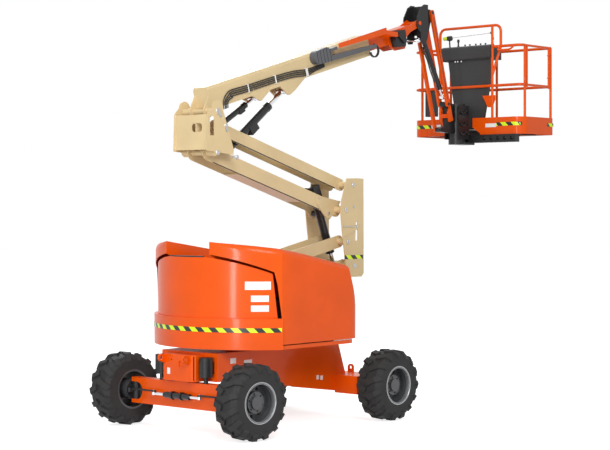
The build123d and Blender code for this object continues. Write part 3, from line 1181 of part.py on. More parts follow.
HINGE_X = RAIL_X1 - 44
GATE_R = 16.0
GUSSET_Y = (-470.0, -260.0)
with BuildPart() as platform_rails:
    for z in (RAIL_Z, MID_RAIL_Z):
        tube((GATE_X0, -RAIL_Y, z), (RAIL_X0, -RAIL_Y, z), (RAIL_X0, RAIL_Y, z), (RAIL_X1, RAIL_Y, z),
             (RAIL_X1, -RAIL_Y, z), bend=75)
    for x, y in (
        (GATE_X0, -RAIL_Y), (RAIL_X1, -RAIL_Y), (RAIL_X1, 0), (RAIL_X1, RAIL_Y - 90), (RAIL_X0, RAIL_Y - 122),
    ):
        tube((x, y, FLOOR_Z + SEAT_GAP), (x, y, RAIL_Z + 2), r=POST_R)
    tube((RAIL_X0, HOOP_Y0, FLOOR_Z + SEAT_GAP), (RAIL_X0, HOOP_Y0, HIGH_RAIL_Z), (RAIL_X0, -560, HIGH_RAIL_Z),
         (RAIL_X0, -560, RAIL_Z), bend=85, r=RAIL_R - 0.5)
    tube((RAIL_X0, HOOP_Y1, FLOOR_Z + SEAT_GAP), (RAIL_X0, HOOP_Y1, HIGH_RAIL_Z + 2), r=POST_R)
    tube((RAIL_X0, -560, RAIL_Z - 2), (RAIL_X0, HOOP_Y1 - 4, 4300), r=RAIL_R - 1)
    for ear_z in (MID_RAIL_Z + 110, RAIL_Z - 110):
        with BuildSketch(Plane.XY.offset(ear_z)):
            with Locations(((RAIL_X1 + HINGE_X) / 2, -RAIL_Y)):
                Rectangle(RAIL_X1 - HINGE_X, 30)
            with Locations((HINGE_X, -RAIL_Y)):
                Circle(24)
            with Locations((HINGE_X, -RAIL_Y)):
                Circle(GATE_R + RUN_FIT, mode=Mode.SUBTRACT)
        extrude(amount=12)
    tube((RAIL_X0, -540, RAIL_Z), (RAIL_X0 - 78, -560, RAIL_Z - 60), (RAIL_X0 - 78, -760, RAIL_Z - 60),
         (RAIL_X0, -780, RAIL_Z), bend=40, r=13)
    with BuildSketch(Plane.YZ.offset(RAIL_X0 - 4)):
        Polygon((GUSSET_Y[0], 4020), (GUSSET_Y[1], 4020), (GUSSET_Y[1] - 90, 3860), (HOOP_Y1, 3860),
                (GUSSET_Y[0], 3960), align=None)
    extrude(amount=8)
save(platform_rails.part, "platform_rails")

with BuildPart() as platform_gate:
    for z in (RAIL_Z, MID_RAIL_Z):
        tube((GATE_X0 + 24, -RAIL_Y, z), (HINGE_X, -RAIL_Y, z), r=GATE_R)
    for x in (GATE_X0 + 44, HINGE_X):
        tube((x, -RAIL_Y, MID_RAIL_Z - 30), (x, -RAIL_Y, RAIL_Z), r=GATE_R)
save(platform_gate.part, "platform_gate")

CONSOLE_X0 = 4182.0
CONSOLE_SKIRT = (
    (330.0, 4516.0), (-370.0, 4516.0), (-345.0, 4200.0), (-250.0, 3722.0), (-230.0, FLOOR_Z + SEAT_GAP),
    (190.0, FLOOR_Z + SEAT_GAP), (205.0, 3722.0), (285.0, 4200.0),
)
with BuildPart() as console:
    with BuildSketch(Plane.YZ.offset(CONSOLE_X0)):
        Polygon(*CONSOLE_SKIRT, align=None)
    extrude(amount=60)
    with BuildSketch(Plane.YZ.offset(CONSOLE_X0)):
        with Locations((35, 4610)):
            Rectangle(800, 190)
    extrude(amount=270)
save(console.part, "console")

with BuildPart() as document_box:
    with BuildSketch(Plane.YZ.offset(RAIL_X0 + RAIL_R + SEAT_GAP)):
        with Locations((640, 3965)):
            Rectangle(170, 390)
    extrude(amount=70)
save(document_box.part, "document_box")
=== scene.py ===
"""Looks for the articulating boom lift: materials, trim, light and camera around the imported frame."""

import json
import math

import bmesh
import bpy
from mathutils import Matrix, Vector


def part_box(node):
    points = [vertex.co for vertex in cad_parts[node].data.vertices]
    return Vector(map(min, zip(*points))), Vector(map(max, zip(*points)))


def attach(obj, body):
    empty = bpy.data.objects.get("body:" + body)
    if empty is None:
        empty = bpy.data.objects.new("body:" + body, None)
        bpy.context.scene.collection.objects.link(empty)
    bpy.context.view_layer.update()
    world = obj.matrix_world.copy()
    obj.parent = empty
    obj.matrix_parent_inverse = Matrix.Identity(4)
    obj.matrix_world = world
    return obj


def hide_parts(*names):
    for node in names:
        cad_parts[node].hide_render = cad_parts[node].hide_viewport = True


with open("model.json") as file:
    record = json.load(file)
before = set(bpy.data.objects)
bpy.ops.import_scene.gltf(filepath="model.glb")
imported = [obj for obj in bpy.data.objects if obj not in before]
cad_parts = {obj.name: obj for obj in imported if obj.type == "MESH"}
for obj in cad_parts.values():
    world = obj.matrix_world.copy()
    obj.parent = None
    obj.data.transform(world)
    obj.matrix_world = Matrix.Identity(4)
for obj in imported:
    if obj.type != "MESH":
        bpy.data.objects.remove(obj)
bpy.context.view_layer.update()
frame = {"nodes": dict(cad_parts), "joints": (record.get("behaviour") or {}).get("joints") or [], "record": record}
NODES = frame["nodes"]
SLOTS = {part["node"]: part["material_slot"] for part in frame["record"]["subparts"]}
# (x, z) of each turning joint, to the millimetre
PIVOTS = {joint["name"]: (round(joint["pos_m"][0], 3), round(joint["pos_m"][2], 3))
          for joint in frame["joints"] if "pos_m" in joint}


# ---------------------------------------------------------------- materials
def ramp(tree, source, low, high, dark, light):
    """Colour ramp from dark to light between two positions."""
    node = tree.nodes.new("ShaderNodeValToRGB")
    node.color_ramp.elements[0].position = low
    node.color_ramp.elements[1].position = high
    node.color_ramp.elements[0].color = (*dark, 1)
    node.color_ramp.elements[1].color = (*light, 1)
    tree.links.new(source, node.inputs["Fac"])
    return node.outputs["Color"]


def noise(tree, scale, detail=4.0):
    """Noise in the machine's own metres."""
    place = tree.nodes.new("ShaderNodeTexCoord")
    node = tree.nodes.new("ShaderNodeTexNoise")
    node.inputs["Scale"].default_value = scale
    node.inputs["Detail"].default_value = detail
    tree.links.new(place.outputs["Object"], node.inputs["Vector"])
    return node.outputs["Fac"]


def shade(color, gain):
    """A colour made lighter or darker."""
    return tuple(min(1.0, c * gain) for c in color)


CLOUD_SCALE, GLOSS_SCALE, GRAIN_DETAIL = 2.3, 9.0, 6.0
GLOSS_SPREAD, COAT_ROUGH, GRAIN_DEPTH = 0.15, 0.12, 0.002


def finish_of(name, color, rough, metallic=0.0, coat=0.0, spread=0.06, grain=0.0, grain_scale=60.0, spec=0.5):
    """Paint, plastic, rubber or metal with a faint change of tone and roughness over the surface."""
    material = bpy.data.materials.new(name)
    material.use_nodes = True
    tree = material.node_tree
    shader = tree.nodes["Principled BSDF"]
    tone = ramp(tree, noise(tree, CLOUD_SCALE), 0.3, 0.7, shade(color, 1 - spread), shade(color, 1 + spread))
    tree.links.new(tone, shader.inputs["Base Color"])
    shader.inputs["Metallic"].default_value = metallic
    shader.inputs["Coat Weight"].default_value = coat
    shader.inputs["Coat Roughness"].default_value = COAT_ROUGH
    shader.inputs["Specular IOR Level"].default_value = spec
    gloss = tree.nodes.new("ShaderNodeMapRange")
    gloss.inputs["To Min"].default_value = rough * (1 - GLOSS_SPREAD)
    gloss.inputs["To Max"].default_value = min(1.0, rough * (1 + GLOSS_SPREAD))
    tree.links.new(noise(tree, GLOSS_SCALE), gloss.inputs["Value"])
    tree.links.new(gloss.outputs["Result"], shader.inputs["Roughness"])
    if grain:
        bump = tree.nodes.new("ShaderNodeBump")
        bump.inputs["Strength"].default_value = grain
        bump.inputs["Distance"].default_value = GRAIN_DEPTH
        tree.links.new(noise(tree, grain_scale, GRAIN_DETAIL), bump.inputs["Height"])
        tree.links.new(bump.outputs["Normal"], shader.inputs["Normal"])
    return material


ORANGE = finish_of("orange_paint", (0.76, 0.086, 0.001), 0.34, coat=0.24, grain=0.05, spec=0.12)
CREAM = finish_of("cream_paint", (0.66, 0.51, 0.285), 0.42, coat=0.04, grain=0.05, spec=0.22)
BLACK = finish_of("black_paint", (0.014, 0.014, 0.015), 0.40, coat=0.06, grain=0.05, spec=0.28)
GLOSS = finish_of("cylinder_paint", (0.012, 0.012, 0.013), 0.28, coat=0.2, spec=0.3)
CHROME = finish_of("rod_chrome", (0.70, 0.71, 0.73), 0.10, metallic=1.0)
STEEL = finish_of("zinc_steel", (0.52, 0.52, 0.52), 0.34, metallic=0.9)
TYRE = finish_of("tyre_rubber", (0.027, 0.027, 0.027), 0.72, grain=0.35, grain_scale=140.0, spec=0.25)
RIM = finish_of("rim_paint", (0.050, 0.052, 0.056), 0.38, coat=0.2)
# lighter metal for the rim's lip and barrel: a painted highlight of the rim's edge
RIM_PAINTED_HIGHLIGHT = finish_of("rim_painted_highlight", (0.34, 0.35, 0.36), 0.30, metallic=0.7)
HOSE = finish_of("hose_rubber", (0.012, 0.012, 0.012), 0.5, grain=0.15, grain_scale=200.0)
CARRIER = finish_of("carrier_grey", (0.085, 0.087, 0.095), 0.42, grain=0.2)
PLASTIC = finish_of("dark_plastic", (0.038, 0.038, 0.038), 0.46, grain=0.25, grain_scale=240.0, spec=0.3)
WHITE = finish_of("plate_white", (0.80, 0.80, 0.78), 0.40)
ENGINE = finish_of("engine_grey", (0.06, 0.06, 0.062), 0.55, grain=0.3)
LIME = finish_of("tape_lime", (0.66, 0.90, 0.01), 0.35, spread=0.03)
TAPE_BLACK = finish_of("tape_black", (0.012, 0.012, 0.012), 0.35, spread=0.03)
LOOKS = {
    "body_orange": ORANGE, "boom_cream": CREAM, "frame_black": BLACK, "cylinder_black": GLOSS,
    "rod_chrome": CHROME, "rim_dark": RIM, "tyre_black": TYRE, "console_grey": PLASTIC,
    "box_grey": PLASTIC, "engine_grey": ENGINE,
}
for node_name, slot_name in SLOTS.items():
    mesh = NODES[node_name].data
    mesh.materials.clear()
    mesh.materials.append(LOOKS[slot_name])
NODES["hose_carrier"].data.materials[0] = CARRIER


# ---------------------------------------------------------------- places
NEAR = Vector((0, -1, 0))
FAR = Vector((0, 1, 0))
FRONT = (-1, 0, 0)
UP = (0, 0, 1)


def member(pin, angle):
    """Point maker for a member's own frame: u along it, v up, w out to the near side, in metres."""
    c, k = math.cos(math.radians(angle)), math.sin(math.radians(angle))
    return lambda u, v, w: Vector((pin[0] + c * u - k * v, -w, pin[1] + k * u + c * v))


# members' angles at rest, in degrees
BOOM_ANGLE, MID_ANGLE, JIB_ANGLE = 15.9, 163.62, -73.45
JIB_CYL_REACH = 1.140        # from the jib's top pin to the eye of its cylinder
BOOM = member(PIVOTS["main_lift"], BOOM_ANGLE)
MID_BOOM = member(PIVOTS["mid_boom_turn"], MID_ANGLE)
MID_LINK = member(PIVOTS["mid_link_turn"], MID_ANGLE)
JIB = member(PIVOTS["jib_lift"], JIB_ANGLE)


def jib_cylinder_place():
    """Point maker along the jib's cylinder, from its foot."""
    (top_x, top_z), (foot_x, foot_z) = PIVOTS["jib_lift"], PIVOTS["jib_barrel_turn"]
    eye_x = top_x + JIB_CYL_REACH * math.cos(math.radians(JIB_ANGLE))
    eye_z = top_z + JIB_CYL_REACH * math.sin(math.radians(JIB_ANGLE))
    return member((foot_x, foot_z), math.degrees(math.atan2(eye_z - foot_z, eye_x - foot_x)))


# ---------------------------------------------------------------- kit for trim
SEAT = 0.0005                # gap between a bolted part and the face that it sits on
PLATE_T = 0.001


def circle(at, side, up, r, sides):
    """Points of a circle round a centre, in the plane of two unit vectors."""
    angles = [2 * math.pi * i / sides for i in range(sides)]
    return [at + (side * math.cos(a) + up * math.sin(a)) * r for a in angles]


def smooth_line(points, steps):
    """Smooth curve through points, as a list of points."""
    ext = [points[0] * 2 - points[1]] + points + [points[-1] * 2 - points[-2]]
    line = []
    for k in range(1, len(ext) - 2):
        a, b, c, d = ext[k - 1:k + 3]
        for i in range(steps):
            t = i / steps
            line.append(0.5 * (2 * b + (c - a) * t + (2 * a - 5 * b + 4 * c - d) * t * t
                               + (3 * b - a - 3 * c + d) * t ** 3))
    return line + [points[-1]]


class Kit:
    """Shapes of one material that ride on one body, gathered in one mesh."""

    def __init__(self, name, body, material):
        self.name, self.body, self.material = name, body, material
        self.verts, self.faces = [], []

    def add(self, verts, faces):
        """Append raw geometry."""
        base = len(self.verts)
        self.verts += [Vector(v) for v in verts]
        self.faces += [[base + i for i in face] for face in faces]

    def rings(self, rings, close=True):
        """Skin between rings of equal count, capped at both ends."""
        count = len(rings[0])
        faces = []
        for k in range(len(rings) - 1):
            for i in range(count):
                j = (i + 1) % count
                faces.append([k * count + i, k * count + j, (k + 1) * count + j, (k + 1) * count + i])
        if close:
            faces.append(list(range(count))[::-1])
            faces.append([(len(rings) - 1) * count + i for i in range(count)])
        self.add([v for ring in rings for v in ring], faces)

    def turned(self, at, axis, profile, sides=24, close=True):
        """Turned form: profile rows are (distance along the axis, radius)."""
        axis = Vector(axis).normalized()
        side = axis.orthogonal().normalized()
        up = axis.cross(side)
        self.rings([circle(Vector(at) + axis * d, side, up, r, sides) for d, r in profile], close)

    def hoop(self, at, axis, profile, sides=64):
        """Turned ring: the profile closes on itself."""
        self.turned(at, axis, tuple(profile) + (profile[0],), sides, close=False)

    def bolt(self, at, axis, r, h=None):
        """Washer and chamfered hexagon head."""
        h = h or r * 0.8
        self.turned(at, axis, ((0, r * 1.35), (h * 0.25, r * 1.35)), 20)
        self.turned(at, axis, ((h * 0.2, r), (h * 0.9, r), (h, r * 0.82)), 6)

    def pin(self, at, axis, r, h=0.012):
        """Round pin head with a rounded rim."""
        self.turned(at, axis, ((0, r), (h * 0.7, r), (h, r * 0.85)), 28)

    def keeper(self, at, axis, along, length, width):
        """Pin keeper: a flat bar held by one bolt at its end."""
        across, thick = axis.cross(along), 0.006
        corners = ((-width, -width), (length, -width), (length, width), (-width, width))
        self.plate([at + along * a + across * b for a, b in corners], axis, thick)
        self.bolt(at + along * (length - width) + axis * thick, axis, width * 0.62)

    def plate(self, corners, normal, thick):
        """Flat plate from its corners, raised along a normal."""
        lift = Vector(normal).normalized() * thick
        self.rings([[Vector(c) for c in corners], [Vector(c) + lift for c in corners]])

    def side_plate(self, x0, x1, z0, z1, y):
        """Thin upright plate that faces the near side."""
        self.plate([(x0, y, z0), (x1, y, z0), (x1, y, z1), (x0, y, z1)], NEAR, PLATE_T)

    def front_plate(self, y0, y1, z0, z1, x):
        """Thin upright plate that faces the front."""
        self.plate([(x, y0, z0), (x, y1, z0), (x, y1, z1), (x, y0, z1)], FRONT, PLATE_T)

    def tube(self, points, r, sides=10, steps=6):
        """Round tube on a smooth curve through points."""
        line = smooth_line([Vector(p) for p in points], steps)
        side = (line[1] - line[0]).orthogonal().normalized()
        rings = []
        for i, p in enumerate(line):
            ahead = (line[min(i + 1, len(line) - 1)] - line[max(i - 1, 0)]).normalized()
            side = (side - ahead * side.dot(ahead)).normalized()
            rings.append(circle(p, side, ahead.cross(side), r, sides))
        self.rings(rings)

    def done(self, crease=35):
        """Make the object, with sharp edges above an angle, and let it ride."""
        mesh = bpy.data.meshes.new(self.name)
        mesh.from_pydata([v[:] for v in self.verts], [], self.faces)
        mesh.update()
        work = bmesh.new()
        work.from_mesh(mesh)
        bmesh.ops.recalc_face_normals(work, faces=work.faces)
        work.to_mesh(mesh)
        work.free()
        mesh.polygons.foreach_set("use_smooth", [True] * len(mesh.polygons))
        mesh.set_sharp_from_angle(angle=math.radians(crease))
        mesh.materials.append(self.material)
        obj = bpy.data.objects.new(self.name, mesh)
        bpy.context.collection.objects.link(obj)
        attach(obj, self.body)
        return obj


# ---------------------------------------------------------------- warning tapes
TAPE_T, BAR_T = 0.0016, 0.0024        # lift of the lime strip and of its bars
TAPE_STEP = 0.03                      # length of the flat pieces of a tape that bends
WEIGHT_R = 1.200
UPRIGHT_LEFT, UPRIGHT_HALF_W = 1.244, 0.290
TOE_X, TOE_HALF, TOE_CORNER = 4.135, 0.915, 0.150


def tape(name, body, place, length, low, high, period, start):
    """Warning tape: a lime strip with slanted black bars; place(d, z, lift) gives points along it."""
    lime = Kit(name + "_lime", body, LIME)
    dark = Kit(name + "_bars", body, TAPE_BLACK)

    def band(kit, a0, a1, b0, b1, lift):
        """Strip from a0 to a1 at the lower edge and from b0 to b1 at the upper one, kept on the tape."""
        parts = max(1, int(round(max(abs(a1 - a0), 0.02) / TAPE_STEP)))
        for n in range(parts):
            f, g = n / parts, (n + 1) / parts
            quad = [(a0 + (a1 - a0) * f, low), (a0 + (a1 - a0) * g, low),
                    (b0 + (b1 - b0) * g, high), (b0 + (b1 - b0) * f, high)]
            quad = [(min(max(d, 0.0), length), z) for d, z in quad]
            if max(d for d, _ in quad) - min(d for d, _ in quad) < 1e-4:
                continue
            kit.add([place(d, z, lift) for d, z in quad], [[0, 1, 2, 3]])

    band(lime, 0, length, 0, length, TAPE_T)
    slant = high - low
    d = start
    while d < length:
        band(dark, d + slant, d + slant + period / 2, d, d + period / 2, BAR_T)
        d += period
    lime.done()
    dark.done()


def on_round(r, cx, angle0):
    """Place maker for an upright round face: distance along the arc, height, lift."""
    def place(d, z, lift):
        a = math.radians(angle0) + d / r
        return Vector((cx + (r + lift) * math.cos(a), (r + lift) * math.sin(a), z))
    return place


def on_upright(side):
    """Place maker for a cheek of the upright."""
    return lambda d, z, lift: Vector((UPRIGHT_LEFT + d, side * (UPRIGHT_HALF_W + lift), z))


def on_toe(start):
    """Place maker round the toe board, from the far corner's end along its outline."""
    bend = math.pi / 2 * TOE_CORNER
    flat = 2 * (TOE_HALF - TOE_CORNER)

    def place(d, z, lift):
        rest = start + d
        if rest <= bend or bend + flat < rest <= 2 * bend + flat:
            far = rest <= bend
            turn = rest / TOE_CORNER if far else (rest - bend - flat) / TOE_CORNER
            a = math.pi / 2 + turn if far else math.pi + turn
            cy = (1 if far else -1) * (TOE_HALF - TOE_CORNER)
            r = TOE_CORNER + lift
            return Vector((TOE_X + TOE_CORNER + r * math.cos(a), cy + r * math.sin(a), z))
        if rest <= bend + flat:
            return Vector((TOE_X - lift, TOE_HALF - TOE_CORNER - (rest - bend), z))
        return Vector((TOE_X + TOE_CORNER + rest - 2 * bend - flat, -TOE_HALF - lift, z))
    return place


# name, body, place, length, low, high, period, start of the first bar
TAPES = (
    ("tape_counterweight", "turntable", on_round(WEIGHT_R, 0, 123.2), 2.374, 1.138, 1.188, 0.176, -0.05),
    ("tape_upright_far", "upright", on_upright(1), 0.350, 1.884, 1.932, 0.172, -0.06),
    ("tape_upright_near", "upright", on_upright(-1), 0.350, 1.884, 1.932, 0.172, -0.06),
    ("tape_toe_left", "platform", on_toe(0.030), 0.400, 3.600, 3.648, 0.17, -0.02),
    ("tape_toe_right", "platform", on_toe(1.500), 0.400, 3.604, 3.652, 0.17, -0.02),
    ("tape_toe_end", "platform", on_toe(2.450), 0.150, 3.604, 3.650, 0.17, -0.06),
)
for tape_row in TAPES:
    tape(*tape_row)


# ---------------------------------------------------------------- blank plates
PANEL_R, PANEL_X = 1.0967, -0.0835    # outer face of the tail panel and its centre
PANEL_PIECES = 8
CHASSIS_SIDE, CHASSIS_NOSE = -0.4402, -1.3002
TOE_FACE = 4.1298
# start and end angle on the tail panel, lower and upper edge
PANEL_PLATES = (
    (-140.7, -125.6, 1.609, 1.700), (-137.2, -126.8, 1.476, 1.546), (-137.2, -126.8, 1.367, 1.437),
)
# left and right edge on the chassis side, lower and upper edge
CHASSIS_PLATES = (
    (-0.90, -0.81, 0.775, 0.835), (-0.68, -0.55, 0.750, 0.800),
    (0.555, 0.60, 0.485, 0.535), (0.625, 0.67, 0.475, 0.525),
)


def blank_plates():
    """Plates of the tail panel, the chassis and the toe board, all without print."""
    panel = Kit("blank_plates", "turntable", WHITE)
    for a0, a1, z0, z1 in PANEL_PLATES:
        angles = [a0 + (a1 - a0) * i / PANEL_PIECES for i in range(PANEL_PIECES + 1)]
        ring = [on_round(PANEL_R, PANEL_X, angle) for angle in angles]
        for left, right in zip(ring, ring[1:]):
            corners = ((left, z0), (right, z0), (right, z1), (left, z1))
            panel.add([place(0, z, PLATE_T) for place, z in corners], [[0, 1, 2, 3]])
    panel.done()
    chassis = Kit("chassis_plates", "chassis", WHITE)
    for x0, x1, z0, z1 in CHASSIS_PLATES:
        chassis.side_plate(x0, x1, z0, z1, CHASSIS_SIDE)
    chassis.front_plate(0.158, 0.110, 0.655, 0.725, CHASSIS_NOSE)
    chassis.done()
    toe = Kit("toe_plate", "platform", WHITE)
    toe.front_plate(-0.33, -0.505, 3.590, 3.640, TOE_FACE)
    toe.front_plate(0.58, 0.42, 3.600, 3.650, TOE_FACE)
    toe.done()


blank_plates()


# ---------------------------------------------------------------- pins, keepers and bolts
RISER_HALF_W = 0.270
# body, place, half width, head radius, angle of the keeper
PINS = (
    ("upright", PIVOTS["upright_turn"], UPRIGHT_HALF_W, 0.030, None),
    ("upright", (1.309, 2.099), UPRIGHT_HALF_W, 0.028, None),
    ("upright", PIVOTS["mid_boom_turn"], UPRIGHT_HALF_W, 0.030, None),
    ("upright", PIVOTS["mid_link_turn"], UPRIGHT_HALF_W, 0.028, None),
    ("riser", PIVOTS["main_lift"], RISER_HALF_W, 0.034, -50),
    ("riser", (-0.800, 3.440), RISER_HALF_W, 0.026, -72),
    ("riser", PIVOTS["riser_turn"], RISER_HALF_W, 0.030, None),
    ("riser", PIVOTS["lift_barrel_turn"], RISER_HALF_W, 0.026, 178),
)
KEEPER_REACH, KEEPER_HALF_W = 0.045, 0.017    # reach beyond the pin's head


def pin_heads():
    """Pin heads on both sides of the upright and the riser, some with a keeper."""
    heads = {}
    for body, (x, z), half, r, angle in PINS:
        kit = heads.setdefault(body, Kit(body + "_pin_heads", body, STEEL))
        for out in (NEAR, FAR):
            at = Vector((x, out.y * (half + SEAT), z))
            kit.pin(at, out, r)
            kit.bolt(at + out * 0.011, out, r * 0.42)
            if angle is not None:
                along = Vector((math.cos(math.radians(angle)), 0, math.sin(math.radians(angle))))
                kit.keeper(at + out * 0.002, out, along, r + KEEPER_REACH, KEEPER_HALF_W)
    for kit in heads.values():
        kit.done()


def upright_trim():
    """Small bolts, tie rod and release lever on the upright."""
    face = -UPRIGHT_HALF_W - SEAT
    trim = Kit("upright_trim", "upright", STEEL)
    for out in (NEAR, FAR):
        trim.bolt(Vector((1.423, out.y * -face, 2.520)), out, 0.013)
    trim.tube([(1.22, -0.297, 2.285), (1.36, -0.297, 2.284), (1.468, -0.297, 2.283)], 0.006)
    trim.bolt(Vector((1.468, -0.292, 2.283)), NEAR, 0.016, 0.02)
    trim.done()
    lever = Kit("upright_lever", "upright", CREAM)
    outline = ((1.25, 2.155), (1.49, 2.250), (1.50, 2.285), (1.475, 2.295), (1.246, 2.172))
    lever.plate([(x, face, z) for x, z in outline], NEAR, 0.006)
    lever.done()


pin_heads()
upright_trim()


# ---------------------------------------------------------------- side covers with rounded edges
COVER_R = 1.186              # round rear end, seen from above
COVER_IN, COVER_OUT = 0.340, 1.000
COVER_FRONT, COVER_CORNER = 0.700, 0.150
COVER_ROUND_END = -0.60      # the round rear end meets the flat side here
COVER_SHOULDER = 0.085       # radius of the rolled shoulder
COVER_STRIP = 1.640          # the inner wall is open below this height
COVER_T = 0.006
SILL_STEP_X = -0.6502        # the lower edge steps down here, in front of the slant along the tail panel
ROOF = ((-1.200, 2.146), (-0.362, 2.022), (0.504, 1.852), (0.700, 1.300))
SILL = ((-1.200, 2.030), (-1.160, 2.008), (-0.705, 1.797), (-0.6505, 1.292))
SILL_FRONT = ((-0.650, 1.000), (0.640, 1.000), (0.700, 1.300))
# where the cover's sections stand along the machine, closer together where its outline bends
COVER_STATIONS = (
    -1.134, -1.125, -1.10, -1.06, -1.0, -0.93, -0.86, -0.79, -0.72, -0.69, -0.6505, -0.65, -0.60, -0.5,
    -0.40, -0.362, -0.32, -0.1, 0.1, 0.3, 0.44, 0.48, 0.504, 0.525, 0.55, 0.58, 0.61, 0.64,
    0.66, 0.675, 0.688, 0.696,
)


def height_on(rows, x):
    """Height of a polyline given by rows of (x, z) at x."""
    for (x0, z0), (x1, z1) in zip(rows, rows[1:]):
        if min(x0, x1) - 1e-9 <= x <= max(x0, x1) + 1e-9 and abs(x1 - x0) > 1e-9:
            return z0 + (z1 - z0) * (x - x0) / (x1 - x0)
    return rows[-1][1]


def cover_section(x):
    """Open section of the cover at x, as (y, z) from the inner wall over the shoulder down to the sill."""
    roof = height_on(ROOF, x)
    sill = height_on(SILL if x < SILL_STEP_X else SILL_FRONT, x)
    out = COVER_OUT
    if x < COVER_ROUND_END:
        out = min(out, math.sqrt(COVER_R ** 2 - x * x))
    if x > COVER_FRONT - COVER_CORNER:
        reach = x - COVER_FRONT + COVER_CORNER
        out = COVER_OUT - COVER_CORNER + math.sqrt(max(0, COVER_CORNER ** 2 - reach ** 2))
    r = min(COVER_SHOULDER, (roof - sill) * 0.45, (out - COVER_IN) * 0.45)
    ring = [(COVER_IN, max(sill, min(COVER_STRIP, roof - 0.002))), (COVER_IN, roof)]
    ring += [(COVER_IN + (out - r - COVER_IN) * k / 3, roof) for k in (1, 2)]
    for k in range(9):
        a = math.radians(90 - 90 * k / 8)
        ring.append((out - r + r * math.cos(a), roof - r + r * math.sin(a)))
    return ring + [(out, roof - r + (sill - roof + r) * k / 4) for k in (1, 2, 3, 4)]


def thickened(obj, thick):
    """Give a skin its wall and apply it; returns the new mesh."""
    wall = obj.modifiers.new("wall", "SOLIDIFY")
    wall.thickness, wall.offset = thick, -1.0
    bpy.context.view_layer.update()
    deps = bpy.context.evaluated_depsgraph_get()
    mesh = bpy.data.meshes.new_from_object(obj.evaluated_get(deps))
    obj.modifiers.clear()
    obj.data = mesh
    return mesh


def side_cover(node, side):
    """Moulded cover: sections with a rolled shoulder along the machine, hollow and open inwards."""
    sections = [[(x, side * y, z) for y, z in cover_section(x)] for x in COVER_STATIONS]
    count = len(sections[0])
    faces = []
    for k in range(len(sections) - 1):
        for i in range(count - 1):
            faces.append([k * count + i, k * count + i + 1, (k + 1) * count + i + 1, (k + 1) * count + i])
    skin = bpy.data.meshes.new(node + "_shell")
    skin.from_pydata([v for section in sections for v in section], [], faces)
    work = bmesh.new()
    work.from_mesh(skin)
    bmesh.ops.remove_doubles(work, verts=work.verts, dist=0.0004)
    bmesh.ops.recalc_face_normals(work, faces=work.faces)
    if sum(f.normal.z * f.calc_area() for f in work.faces) < 0:
        bmesh.ops.reverse_faces(work, faces=work.faces)
    work.to_mesh(skin)
    work.free()
    body = bpy.data.objects.new(node + "_shell", skin)
    bpy.context.collection.objects.link(body)
    mesh = thickened(body, COVER_T)
    mesh.polygons.foreach_set("use_smooth", [True] * len(mesh.polygons))
    mesh.set_sharp_from_angle(angle=math.radians(24))
    mesh.materials.clear()
    mesh.materials.append(ORANGE)
    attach(body, node)
    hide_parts(node)


side_cover("cover_far", 1)
side_cover("cover_near", -1)


# ---------------------------------------------------------------- wheels
# closed profiles round the wheel's axis: distance out from the wheel's middle, radius
RIM_LIP = ((0.1635, 0.2282), (0.1665, 0.2275), (0.1675, 0.2230), (0.1665, 0.2175), (0.1635, 0.2150))
RIM_BARREL = (
    (0.120, 0.2045), (0.150, 0.2035), (0.1645, 0.2090), (0.1645, 0.2050), (0.150, 0.2010), (0.120, 0.2020),
)
# count, circle radius, distance out, head radius, head height
WHEEL_BOLTS = ((9, 0.150, 0.0305, 0.013, 0.018), (6, 0.096, 0.0885, 0.008, 0.008))


def wheel_trim(name, centre, out, body):
    """Lighter metal on the rim's lip and barrel as a painted highlight, wheel nuts and the hub cap's bolts."""
    highlight_kit = Kit("rim_painted_highlight_" + name, body, RIM_PAINTED_HIGHLIGHT)
    for profile in (RIM_LIP, RIM_BARREL):
        highlight_kit.hoop(centre, out, profile)
    highlight_kit.done()
    nuts = Kit("wheel_nuts_" + name, body, BLACK)
    side = out.orthogonal().normalized()
    up = out.cross(side)
    for count, ring_r, reach, r, h in WHEEL_BOLTS:
        for at in circle(centre + out * reach, side, up, ring_r, count):
            nuts.bolt(at, out, r, h)
    nuts.done()


for joint in frame["joints"]:
    if joint["name"].startswith("wheel_"):
        centre = Vector(joint["pos_m"])
        axle = Vector(joint["axis"]).normalized()
        outward = axle if centre.y > 0 else -axle
        wheel_trim(joint["child"].removeprefix("wheel_"), centre, outward, joint["child"])


# ---------------------------------------------------------------- mid boom and mid link
MID_HALF_W, LINK_HALF_W = 0.1255, 0.0925
# width and lift of the black strips that are painted shade in the gap under the side faces
SHADE_STRIP_W, SHADE_STRIP_T = 0.011, 0.0015
# name, body, place, start, end, lower edge of the side face, half width
SHADE_STRIPS = (
    ("mid_boom_painted_shade_strips", "mid_boom", MID_BOOM, 0.30, 2.20, 0.086, MID_HALF_W),
    ("mid_link_painted_shade_strips", "mid_link", MID_LINK, 0.10, 2.10, 0.073, LINK_HALF_W),
)
GUSSET = ((0.899, 2.667), (1.357, 2.589), (1.150, 2.369), (1.039, 2.436), (0.910, 2.558))
GUSSET_Y, GUSSET_T = MID_HALF_W + 0.001, 0.008


def painted_shade_strips():
    """Black strips along the lower edges of the side faces: painted shade of the gap under them."""
    for name, body, place, u0, u1, edge, half in SHADE_STRIPS:
        kit = Kit(name, body, BLACK)
        for w, out in ((half, NEAR), (-half, FAR)):
            corners = ((u0, edge - SHADE_STRIP_W), (u1, edge - SHADE_STRIP_W), (u1, edge), (u0, edge))
            kit.plate([place(u, v, w) for u, v in corners], out, SHADE_STRIP_T)
        kit.done()


